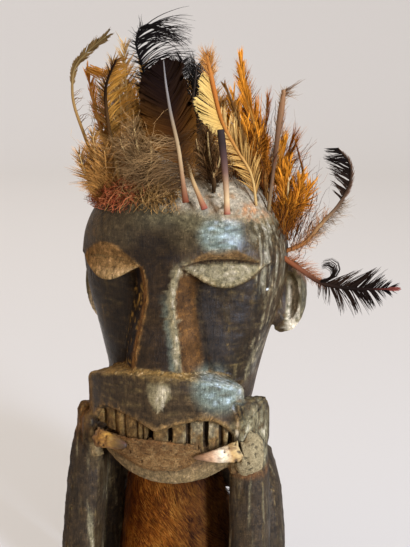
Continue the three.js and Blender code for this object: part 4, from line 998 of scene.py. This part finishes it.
feathers = {
    "feather_large_dark": {
        "path": [(15, -46, 256), (13, -45, 268), (10, -43, 285), (4, -39, 306), (0, -35, 323),
                 (-2, -32, 333)],
        "radii": [1.9, 1.3, 1.2, 1.15, 1.0, 0.8, 0.6, 0.35],
        "shaft": "#5c2c1a #7f5c3e #8f7450 #7d6548 #665a4e #6b625a #5f5750",
        "barbs": barbs(0, (0.27, 0.995), [10, 15, 18, 18.5, 18.5, 18.5, 17, 13.5, 7.5, 2.5], (70, 44),
                       bend=12, spacing=0.3, width=0.5, clump=70, lift=0.015, uneven=0.02, mottle=0.16,
                       web=0.97, steps=6, root="#3a1f0a #2a1406 #1a0d04 #150b04 #130a04",
                       tip="#5f3a14 #452709 #241306 #180d05 #150b05")
        + barbs(-1, (0.1, 0.46), [16, 22, 23, 15], (95, 60), bend=-35, wave=1.6, scatter=0.15, spacing=0.12,
                width=0.24, steps=8, mottle=0.4, **greyDown)
        + barbs(1, (0.16, 0.46), [4, 9, 13, 14], (74, 60), bend=-20, wave=1.0, scatter=0.08, spacing=0.2,
                width=0.32, steps=7, root="#1d1108", tip="#4f3218"),
    },
    "quill_black": {
        "path": [(38, -43, 250), (37.5, -43, 262), (36, -42, 277), (33, -39, 296)],
        "radii": [1.9, 1.5, 1.6, 1.8, 2.0, 2.1, 2.0],
        "shaft": "#7a4030 #a98a60 #8c6c4c #5a4034 #3f2c26 #2a1f1b #2a221e",
        "barbs": [],
    },
    "quill_stub": {
        "path": [(26, -46.5, 253), (22, -44, 260), (17.5, -41, 268), (13, -36, 277)],
        "radii": [1.9, 1.4, 1.2, 1.1, 1.0],
        "shaft": "#7a4030 #8d6642 #98784e #80643f #6b5232",
        "barbs": barbs(0, (0.6, 1.0), [3, 8, 9], (50, 40), wave=0.8, scatter=0.2, spacing=0.2, width=0.3,
                       **brown),
    },
    "feather_long_curved": {
        "path": [(-42, -20, 250), (-47, -20, 268), (-56, -20, 290), (-63, -20, 315), (-61, -20, 329),
                 (-52, -20, 339), (-41, -20, 347)],
        "radii": [1.4, 1.2, 1.0, 0.9, 0.8, 0.6, 0.4],
        "shaft": "#6b4f2a #8f6b38 #876436 #6b5430 #584728",
        "barbs": barbs(0, (0.66, 1.0), [3, 5.5, 7, 7, 5], (32, 20), bend=6, spacing=0.3, width=0.55,
                       web=0.9, clump=5.0, root="#5a4222 #4d3a20", tip="#6b4f2a #5c4626")
        + barbs(1, (0.25, 0.62), [9, 11, 9, 6], (70, 50), bend=-30, spacing=2.0, clump=6.0, width=0.4,
                wave=0.8, steps=7, **brown)
        + barbs(0, (0.04, 0.3), [10, 11, 6], (70, 40), wave=1.6, scatter=0.15, spacing=0.2, width=0.28,
                steps=8, **goldDown),
    },
    "feather_orange_left": {
        "path": [(-40, -11, 253), (-43, -12, 270), (-48, -12, 290), (-54, -12, 314), (-57, -12, 330)],
        "radii": [1.3, 1.2, 1.0, 0.8, 0.4],
        "shaft": "#6e4a24 #87572a #935c24",
        "barbs": barbs(1, (0.1, 1), [12, 15, 14, 12, 9, 5], (40, 22), bend=8, clump=5.0, uneven=0.2,
                       lift=0.12, **orange)
        + barbs(-1, (0.2, 0.95), [5, 7, 6, 4], (35, 20), clump=4.0, uneven=0.25, spacing=0.5, **orange),
        "strands": [{"path": [(-55, -12, 329), (-50, -14, 327), (-43, -14, 325), (-36, -12, 329)],
                     "count": 60, "spread": (1.2, 2.2), "wave": 0.25, "width": 0.6,
                     "colours": "#8f5a20 #b87a30"}],
    },
    "feather_dark_shaft": {
        "path": [(-28, -31, 254), (-31, -31, 272), (-37, -29, 298), (-38, -28, 320), (-32, -27, 334)],
        "radii": [1.5, 1.4, 1.2, 0.9, 0.5],
        "shaft": "#80663f #866538 #4d331a #1c1007 #170c06",
        "barbs": barbs(1, (0.3, 1), [14, 17, 19, 18, 14, 8], (50, 30), bend=-28, clump=4.0, uneven=0.18,
                       lift=0.1, spacing=0.36, root="#855f2a #734a1a #3c220b",
                       tip="#cf9f52 #c98d38 #8f5a1f")
        + barbs(-1, (0.25, 0.95), [8, 10, 10, 8, 5], (48, 30), bend=-20, clump=3.0, uneven=0.2,
                spacing=0.45, root="#5a3c1a #35200d #1f1209", tip="#8a6430 #5c3a17 #3a220f")
        + barbs(0, (0.05, 0.42), [9, 13, 12], (75, 50), wave=1.4, scatter=0.15, spacing=0.16, width=0.3,
                steps=8, **goldDown),
    },
    "plume_black": {
        "path": [(-14, -8, 266), (-18, -8, 292), (-21, -7, 321), (-24.5, -6, 332), (-27.4, -6, 345),
                 (-25, -6, 352), (-21, -6, 354)],
        "radii": [1.4, 1.3, 1.1, 0.9, 0.7, 0.4],
        "shaft": "#2a1e15 #110c08 #0c0907 #110d0a",
        "barbs": barbs(1, (0.5, 0.88), [24, 30, 32, 30], (60, 48), bend=-66, spacing=0.34, width=0.62,
                       clump=1.9, uneven=0.07, lift=0.06, wave=0.25, steps=10, root="#0d0907",
                       tip="#1a1512")
        + barbs(1, (0.86, 1.0), [31, 29, 27], (48, 10), bend=-50, spacing=0.3, width=0.6, clump=1.7,
                uneven=0.07, lift=0.06, wave=0.25, steps=10, root="#0d0907", tip="#1a1512")
        + barbs(1, (0.25, 0.55), [10, 15, 20], (40, 42), bend=-30, spacing=0.36, width=0.5, clump=3.0,
                lift=0.1, steps=7, **black)
        + barbs(-1, (0.5, 0.97), [12, 9, 6, 5, 4], (38, 50), bend=-20, spacing=0.6, width=0.5, clump=2.4,
                uneven=0.35, wave=0.5, steps=6, **black),
    },
    "feather_grey_down": {
        "path": [(4, -12, 268), (8, -13, 300), (12, -13, 331)],
        "radii": [1.3, 1.1, 0.5],
        "shaft": "#6b5842 #5a4c3c #4a4038",
        "barbs": barbs(0, (0.1, 1), [8, 10, 12, 12, 9], (55, 45), wave=1.5, scatter=0.2, spacing=0.13,
                       width=0.3, steps=8, root="#2a1e12 #241f1a #1c1a18", tip="#4a3a26 #403a34 #3a3631"),
    },
    "feather_yellow": {
        "path": [(49, -19, 252), (46, -20, 270), (37, -21, 285), (29, -22, 300), (25, -23, 316),
                 (21, -24, 336)],
        "radii": [0.8, 0.8, 0.9, 1.0, 1.2, 1.4, 0.8],
        "shaft": "#9a7a4a #9f7a44 #96642e #8d521f #8f5120 #a0652c",
        "barbs": barbs(-1, (0.46, 0.84), [6, 13, 15, 14, 8], (50, 38), bend=10, spacing=0.2, width=0.6,
                       uneven=0.05, lift=0.01, mottle=0.08, web=0.97, clump=70, root="#b98c45",
                       tip="#cda45a")
        + barbs(1, (0.05, 0.6), [9, 13, 15, 13, 7], (22, 24), bend=-8, clump=3.5, spacing=0.4, uneven=0.2,
                lift=0.1, **cream)
        + barbs(-1, (0.08, 0.5), [8, 11, 9], (40, 35), bend=-12, clump=2.5, spacing=0.4, uneven=0.2,
                lift=0.1, **cream)
        + barbs(0, (0.86, 1.0), [5, 7, 6], (50, 30), wave=0.8, scatter=0.25, spacing=0.1, width=0.3,
                steps=6, root="#84481a", tip="#b07a3c"),
    },
    "feather_orange_upright": {
        "path": [(51, 2, 250), (48, 2, 275), (42, 2, 298), (36, 2, 318), (34, 2, 333)],
        "radii": [1.3, 1.2, 1.0, 0.8, 0.4],
        "shaft": "#6e4a24 #7f5522 #854f1a",
        "barbs": barbs(0, (0.1, 1), [12, 15, 17, 15, 12, 7], (18, 11), bend=4, clump=10.0, uneven=0.14,
                       lift=0.07, spacing=0.26, width=0.7, **orange),
    },
    "feather_brown_blade": {
        "path": [(45, -9, 254), (42, -9, 275), (36, -9, 298), (27, -9, 320)],
        "radii": [1.2, 1.0, 0.8, 0.4],
        "shaft": "#5c4220 #4d3014 #43270d",
        "barbs": barbs(0, (0.1, 1), [7, 8, 8, 6, 3], (22, 12), bend=2, clump=5.0, spacing=0.35, uneven=0.2,
                       **brown),
    },
    "quill_frayed": {
        "path": [(54, -9, 248), (56, -8, 268), (58, -6, 290), (61, -4, 317)],
        "radii": [1.1, 1.1, 1.1, 1.3, 1.6, 1.9, 1.2],
        "shaft": "#6e5838 #5f4630 #4d3322 #553a26 #6b4a30 #7a5638",
        "barbs": barbs(0, (0.35, 1), [2, 3, 4, 5, 4], (40, 30), wave=0.5, scatter=0.25, spacing=0.3,
                       width=0.3, root="#5c4028", tip="#8a6c4a")
        + barbs(1, (0.94, 1), [6, 9], (80, 60), wave=0.4, scatter=0.3, spacing=0.15, width=0.35,
                root="#4d3322", tip="#7a5a3a"),
    },
    "feather_orange_side": {
        "path": [(61, 13, 227), (60, 13, 245), (57, 13, 265), (57, 13, 284)],
        "radii": [1.3, 1.1, 0.9, 0.5],
        "shaft": "#6e4218 #7f4f1c #8a561f",
        "barbs": barbs(0, (0.02, 1), [10, 14, 15, 13, 9], (17, 11), bend=4, clump=10.0, uneven=0.14,
                       spacing=0.25, width=0.7, lift=0.07, **orange),
    },
    "feather_narrow_side": {
        "path": [(59, 20, 229), (66, 21, 245), (69, 21, 263), (64, 21, 285)],
        "radii": [1.2, 1.0, 0.8, 0.4],
        "shaft": "#6e3c16 #733f16 #7a4719",
        "barbs": barbs(0, (0.02, 1), [6, 8, 7, 4], (16, 10), bend=0, clump=5.0, uneven=0.2, spacing=0.35,
                       **orange),
    },
    "feather_side_raised": {
        "path": [(61, 6, 221), (72, 9, 226), (82, 12, 238), (92, 14, 250), (98, 15, 264), (97, 15, 274),
                 (90, 15, 283)],
        "radii": [1.4, 1.3, 1.2, 1.0, 0.8, 0.6, 0.3],
        "shaft": "#70401e #7f5028 #80603c #5c4430 #2e1f14 #140d08 #100a06",
        "barbs": barbs(-1, (0.58, 1.0), [7, 11, 14, 14, 11, 6], (70, 44), bend=-8, spacing=0.3, width=0.75,
                       clump=2.6, uneven=0.14, lift=0.08, **black)
        + barbs(1, (0.5, 0.97), [3, 5, 6, 5, 3], (24, 16), spacing=0.25, root="#4a3222 #2e1f15",
                tip="#6b4e3a #43301f")
        + barbs(1, (0.22, 0.56), [5, 8, 8, 6], (70, 55), wave=1.5, scatter=0.25, spacing=0.16, width=0.26,
                steps=8, root="#5c432e", tip="#8a745a")
        + barbs(-1, (0.05, 0.42), [4, 7, 6], (60, 50), wave=1.0, scatter=0.25, spacing=0.2, width=0.26,
                steps=7, root="#6b3c1c", tip="#9c6634")
        + barbs(1, (0.02, 0.3), [3, 6, 5], (60, 50), wave=1.0, scatter=0.25, spacing=0.2, width=0.26,
                steps=7, root="#6b3c1c", tip="#a87440"),
    },
    "feather_side_low": {
        "path": [(61, 0, 219), (72, 3, 211), (84, 8, 202.5), (98, 10, 200), (113, 11, 200), (129, 12, 201)],
        "radii": [1.6, 1.5, 1.3, 1.1, 0.8, 0.4],
        "shaft": "#703c20 #5c3420 #24170f #140e0a #1a100c #5c2a20",
        "barbs": barbs(-1, (0.42, 0.93), [12, 18, 18, 15, 10, 6], (50, 36), bend=6, spacing=0.36, width=0.7,
                       clump=4.6, uneven=0.1, lift=0.05, **black)
        + barbs(1, (0.36, 0.93), [8, 15, 17, 14, 8, 4], (58, 40), bend=-14, spacing=0.36, width=0.7,
                clump=4.4, uneven=0.1, lift=0.05, **black)
        + barbs(-1, (0.02, 0.36), [7, 9, 8, 5], (60, 40), wave=0.8, scatter=0.2, spacing=0.16, width=0.3,
                steps=6, root="#5c3018", tip="#96603c")
        + barbs(1, (0.1, 0.4), [3, 5, 4], (60, 50), wave=0.8, scatter=0.2, spacing=0.3, width=0.28, steps=6,
                root="#5c3424", tip="#80604a")
        + barbs(0, (0.9, 1.0), [4, 4, 2], (25, 15), spacing=0.15, width=0.4, root="#5c2a20", tip="#7a4034"),
        "strands": [{"path": [(84, 7, 204), (92, 7, 207), (95, 6, 214), (91, 5, 219), (85, 5, 218)],
                     "count": 26, "spread": (0.5, 0.7), "wave": 0.1, "width": 0.7,
                     "colours": "#130d09 #1f1610"}],
    },
    "feather_back_dark": {
        "path": [(-14, 34, 258), (-18, 38, 285), (-20, 41, 310), (-14, 42, 334)],
        "radii": [1.6, 1.3, 1.0, 0.5],
        "shaft": "#80704e #63584c #4a4038",
        "barbs": barbs(0, (0.3, 1), [10, 14, 15, 13, 6], (58, 30), bend=-20, clump=4.0, spacing=0.32,
                       width=0.6, **black)
        + barbs(0, (0.06, 0.34), [10, 13, 11], (80, 55), wave=1.3, scatter=0.15, spacing=0.2, width=0.3,
                steps=7, **greyDown),
    },
    "feather_back_orange": {
        "path": [(22, 32, 258), (27, 37, 283), (29, 40, 306), (24, 41, 330)],
        "radii": [1.5, 1.2, 0.9, 0.5],
        "shaft": "#7d5f38 #84592a #7d4c1e",
        "barbs": barbs(0, (0.2, 1), [10, 13, 13, 11, 6], (45, 24), bend=-8, clump=5.0, spacing=0.32,
                       uneven=0.16, **orange)
        + barbs(0, (0.04, 0.25), [9, 12, 10], (75, 50), wave=1.3, scatter=0.15, spacing=0.2, width=0.3,
                steps=7, **goldDown),
    },
}

tufts = {
    # root, tips, half width of a blade in mm, its colours, and whether it is stiff or downy
    "tuft_cream_left": ((-34, 0, 262), [(-37, -1, 343), (-46, 3, 334), (-27, 4, 330), (-53, 3, 320),
                                        (-40, -4, 318)], 6, cream, "vane"),
    "tuft_brown_left": ((-40, -28, 246), [(-56, -29, 280), (-46, -31, 292), (-37, -36, 283)], 5.5, goldDown,
                        "vane"),
    "tuft_brown_front": ((-10, -39, 258), [(-25, -42, 290), (-16, -44, 300), (-5, -46, 290)], 6, greyDown,
                         "down"),
    "tuft_cream_middle": ((27, -31, 260), [(16, -29, 290), (23, -30, 294), (31, -32, 282)], 5, darkDown,
                          "vane"),
    "tuft_orange_right": ((41.4, -1.7, 263), [(25, -1, 303), (31, -3.4, 314), (35.6, -2, 295)], 7, orange,
                          "blade"),
    "tuft_orange_ear": ((61, 3, 232), [(64, 0, 273), (70, 2, 266)], 6, orange, "blade"),
    "tuft_back_left": ((-40, 22, 252), [(-56, 26, 300), (-45, 31, 318), (-32, 31, 306)], 8, orange, "blade"),
    "tuft_back_middle": ((3, 30, 264), [(-4, 33, 318), (6, 34, 328), (15, 31, 308)], 8, goldDown, "blade"),
    "tuft_back_right": ((44, 20, 252), [(44, 30, 312), (54, 28, 302), (62, 30, 284)], 8, orange, "blade"),
}
tuftKinds = {
    "blade": {},
    "vane": {"angle": (44, 20), "wave": 0.5, "clump": 3.2, "width": 0.45, "lift": 0.14, "uneven": 0.3,
             "mottle": 0.4},
    "down": {"angle": (66, 30), "bend": -24, "wave": 1.4, "scatter": 0.35, "clump": 3.0, "width": 0.26,
             "steps": 8, "spacing": 0.26, "lift": 0.35, "mottle": 0.45},
}


tuftFill = {"extraBlades": 9, "shadeDown": 420}     # short ones between the tips, and threads of down below coloured dark as painted shade in the gaps


def featherKeratin():
    # Keratin barbs: fine threads that lie side by side, old and dusty, so nearly matt
    return surfaced(*newMaterial("feather_keratin_barbs", 0.65, 0.01), [])


def facing(path):
    x, y, _ = path[0]
    return unit(np.array([-x, -y, 0.0])) if y > 18 else frontNormal


def dressFeathers():
    material = featherKeratin()
    for k, (name, feather) in enumerate(feathers.items()):
        rng = np.random.default_rng(100 + k)
        normal = facing(feather["path"])
        line = smoothPath(feather["path"], 60)
        bundle = Bundle()
        growShaft(bundle, line, feather["radii"], feather["shaft"], normal)
        for row in feather["barbs"]:
            growBarbs(bundle, line, normal, row, rng)
        for strands in feather.get("strands", []):
            growStrands(bundle, strands, rng)
        finished(bundle.piece(name + "_barbs"), material, name)
    for k, (name, (root, tips, width, look, kind)) in enumerate(tufts.items()):
        rng = np.random.default_rng(200 + k)
        normal = facing([root])
        roots, edges = look["root"].split(), look["tip"].split()
        bundle = Bundle()
        ends = [(tip, 1.0) for tip in tips]
        for _ in range(tuftFill["extraBlades"]):
            one, other = rng.choice(len(tips), 2, replace=False)
            share = rng.uniform(0.45, 0.95)
            spot = (np.array(tips[one]) + tips[other]) / 2 + rng.normal(size=3) * [5, 2, 3]
            ends.append((tuple(np.array(root) + rng.normal(size=3) * [4, 2, 0] + (spot - root) * share), 2.2))
        crowd = np.mean(tips, axis=0)
        if root[1] > -25:
            # short dark down that fills the gaps behind the blades, its darkness painted shade
            middle = tuple(np.array(root) + 0.6 * (crowd - root) + [0, 3, 0])
            growStrands(bundle, {"path": [(root[0], root[1] + 3, root[2] + 4), middle],
                                 "count": tuftFill["shadeDown"],
                                 "spread": (8, 10), "wave": 2.2, "width": 0.4, "short": 0.3, "steps": 7,
                                 "colours": f"{roots[0]} #24140a {edges[0]}"}, rng)
        for tip, coarse in ends:
            middle = ((root[0] + tip[0]) / 2 + 0.25 * (tip[0] - root[0]), (root[1] + tip[1]) / 2,
                      (root[2] + tip[2]) / 2 + 5)
            path = smoothPath([root, (root[0], root[1], root[2] + 9), middle, tip], 40)
            shade = "#6b4c2a #bd9a62" if coarse == 1 else f"{roots[0]} {edges[-1]}"
            growShaft(bundle, path, [1.0, 0.9, 0.7, 0.3], shade, normal)
            for side in (-1, 1):
                growBarbs(bundle, path, normal, {
                    "side": side, "span": (0.3, 1),
                    "length": [width * 1.5, width * 1.8, width * 1.5, width * 0.9],
                    "angle": (28, 12), "bend": -8, "clump": 8.0, "uneven": 0.2, "lift": 0.14, "mottle": 0.3,
                    "spacing": 0.3 * coarse, "width": 0.4 + 0.2 * coarse, **look, **tuftKinds[kind]}, rng)
                growBarbs(bundle, path, normal, {
                    "side": side, "span": (0.25 if kind != "blade" else 0.08, 0.55),
                    "length": [width * 1.4, width * 1.6, width],
                    "angle": (70, 45), "wave": 1.5, "scatter": 0.2, "spacing": 0.16 * coarse, "width": 0.28,
                    "steps": 7, **look}, rng)
        finished(bundle.piece(name + "_barbs"), material, name)
    print("feathers done")


# Reddish plant fibre matted on the right front of the crown, the viewer's left

mat = {
    "along": [(-53, 0, 256), (-48, -16, 258), (-40, -27, 259), (-28, -34, 260), (-14, -38, 261),
              (2, -40, 261)],
    "spread": (3.4, 3, 3),
    "fibres": 3000,
    "steps": 12,            # points of a fibre
    "stride": (0.5, 1.5),   # mm between them
    "lowest": 0.2, "highest": 9,    # above the crown, mm
    "width": (0.22, 0.62),  # coarser than real fibres, so that they show
    "red": "#4a1d0e #863f20 #b0683c",
    "gold": "#38230f #755226 #a87e45",
}


def relaxedLines(points):
    for _ in range(2):
        points[:, 1:-1] = 0.5 * points[:, 1:-1] + 0.25 * (points[:, :-2] + points[:, 2:])
    return points


def plantFibre():
    # Dyed plant fibre: flat matt strands, brittle and dusty
    return surfaced(*newMaterial("dyed_plant_fibre", 0.8, 0.1), [])


def tangleFibres():
    # every fibre walks over the crown, snapped to its nearest point, and rises off it now and then
    normals = normalsOf(woodPoints, woodTriangles)
    keep = (woodPoints[:, 2] > 247) & (woodPoints[:, 1] < 25) & (woodPoints[:, 0] < 15)
    ground, outwards = woodPoints[keep], normals[keep]
    tree = KDTree(len(ground))
    for i, point in enumerate(ground):
        tree.insert(point, i)
    tree.balance()
    rng = np.random.default_rng(9)
    count, steps = mat["fibres"], mat["steps"]
    line = smoothPath(mat["along"], 200)
    place = line[rng.integers(0, 200, count)] + rng.normal(size=(count, 3)) * mat["spread"]
    heading = unit(rng.normal(size=(count, 3)) + [0.5, 0, 0])
    stride = rng.uniform(*mat["stride"], (count, 1))
    rise = np.abs(rng.normal(0, 2.4, count)) + 0.3
    points = np.empty((count, steps, 3))
    for step in range(steps):
        nearest = [tree.find(spot)[1] for spot in place]
        normal = outwards[nearest]
        place = ground[nearest] + rise[:, None] * normal
        points[:, step] = place
        heading = unit(heading + 0.45 * rng.normal(size=(count, 3)))
        heading = unit(heading - 0.8 * np.sum(heading * normal, axis=1, keepdims=True) * normal)
        place = place + stride * heading
        rise = np.clip(rise + rng.normal(0, 1.2, count), mat["lowest"], mat["highest"])
    points = relaxedLines(points)
    widths = rng.uniform(*mat["width"], (count, 1)) * (1 - 0.6 * np.linspace(0, 1, steps))[None, :]
    sides = unit(np.cross(np.gradient(points, axis=1), rng.normal(size=(count, 1, 3)) + 1.2 * frontNormal))
    redness = soft(-8, -26, points[:, 0, 0]) * rng.uniform(0.2, 1, count)
    warm = readColours(mat["red"], rng.random(count))
    dull = readColours(mat["gold"], rng.random(count))
    colours = np.repeat((dull + (warm - dull) * (redness > 0.3)[:, None])[:, None], steps, axis=1)
    bundle = Bundle()
    bundle.add(*ribbons(points, widths, sides, colours))
    finished(bundle.piece("fibre_mat"), plantFibre(), "fibre_tangle")
    print("fibres done")


dressFeathers()
tangleFibres()


# Surroundings: a floor that sweeps up into a pale wall, window light and room light

room = {
    "colour": "#7c7874", "glow": "#ddd6d0", "glowStrength": 0.61,   # a little light of its own evens the wall
    "radius": 3000, "curve": 500, "height": 1250,                   # mm
    "sides": 72, "curveSteps": 12,
}


def paleSweep():
    angle = math.pi / 2 * np.arange(room["curveSteps"] + 1) / room["curveSteps"]
    reach = room["radius"] - room["curve"] + room["curve"] * np.sin(angle)
    profile = [(1.0, 0.0), *zip(reach, room["curve"] * (1 - np.cos(angle))), (room["radius"], room["height"])]
    sides = room["sides"]
    turns = [2 * math.pi * k / sides for k in range(sides)]
    points = [(far * math.cos(turn), far * math.sin(turn), z) for far, z in profile for turn in turns]
    quads = ringFaces(len(profile), sides)[0]
    sweep = objectFrom("floor_and_wall", points, [quads, [tuple(range(sides))]])
    material, _, shader = newMaterial("painted_plaster_wall", 0.95, 0.5)
    shader.inputs["Base Color"].default_value = (*toLinear(room["colour"]), 1)
    shader.inputs["Emission Color"].default_value = (*toLinear(room["glow"]), 1)
    shader.inputs["Emission Strength"].default_value = room["glowStrength"]
    sweep.data.materials.append(material)


lights = {
    # name: place, size and aim in mm, colour, power in watts
    "windowLow": ((1180, -960, 330), (180, 560), (0, 0, 190), "#cfe0ff", 52.0),
    "windowHigh": ((1320, -800, 1450), (180, 380), (0, 0, 190), "#cfe0ff", 44.0),
    "room": ((-1300, -1100, 700), (1500, 1500), (0, 0, 190), "#ffd9b0", 7.5),
    "ceiling": ((0, -100, 1700), (1100, 1100), (0, 0, 190), "#fff6ea", 6.0),
    "back": ((-1000, 900, 1900), (2000, 1800), (-400, 1300, 0), "#f8f2ee", 40.0),
}
ambient = {"colour": "#dcd6cf", "strength": 0.24}


def addLights():
    for name, (place, size, aim, colour, power) in lights.items():
        lamp = bpy.data.lights.new(name, "AREA")
        lamp.shape = "RECTANGLE"
        lamp.size, lamp.size_y = size[0] * mm, size[1] * mm
        lamp.color = toLinear(colour)
        lamp.energy = power
        holder = bpy.data.objects.new(name, lamp)
        holder.location = Vector(place) * mm
        holder.rotation_mode = "QUATERNION"
        holder.rotation_quaternion = (Vector(aim) * mm - holder.location).to_track_quat("-Z", "Y")
        bpy.context.scene.collection.objects.link(holder)
    world = bpy.data.worlds.new("room")
    world.use_nodes = True
    background = world.node_tree.nodes["Background"]
    background.inputs["Color"].default_value = (*toLinear(ambient["colour"]), 1)
    background.inputs["Strength"].default_value = ambient["strength"]
    bpy.context.scene.world = world


camera = {"place": (162.6, -522.1, 326.2), "azimuth": 16.0, "elevation": 12.5, "lens": 59.444}  # mm, degrees


def addCamera():
    data = bpy.data.cameras.new("camera")
    data.lens = camera["lens"]
    holder = bpy.data.objects.new("camera", data)
    holder.location = Vector(camera["place"]) * mm
    holder.rotation_euler = (math.radians(90 - camera["elevation"]), 0, math.radians(camera["azimuth"]))
    bpy.context.scene.collection.objects.link(holder)
    bpy.context.scene.camera = holder
    bpy.context.scene.view_settings.view_transform = "Standard"


paleSweep()
addLights()
addCamera()
print("room done")
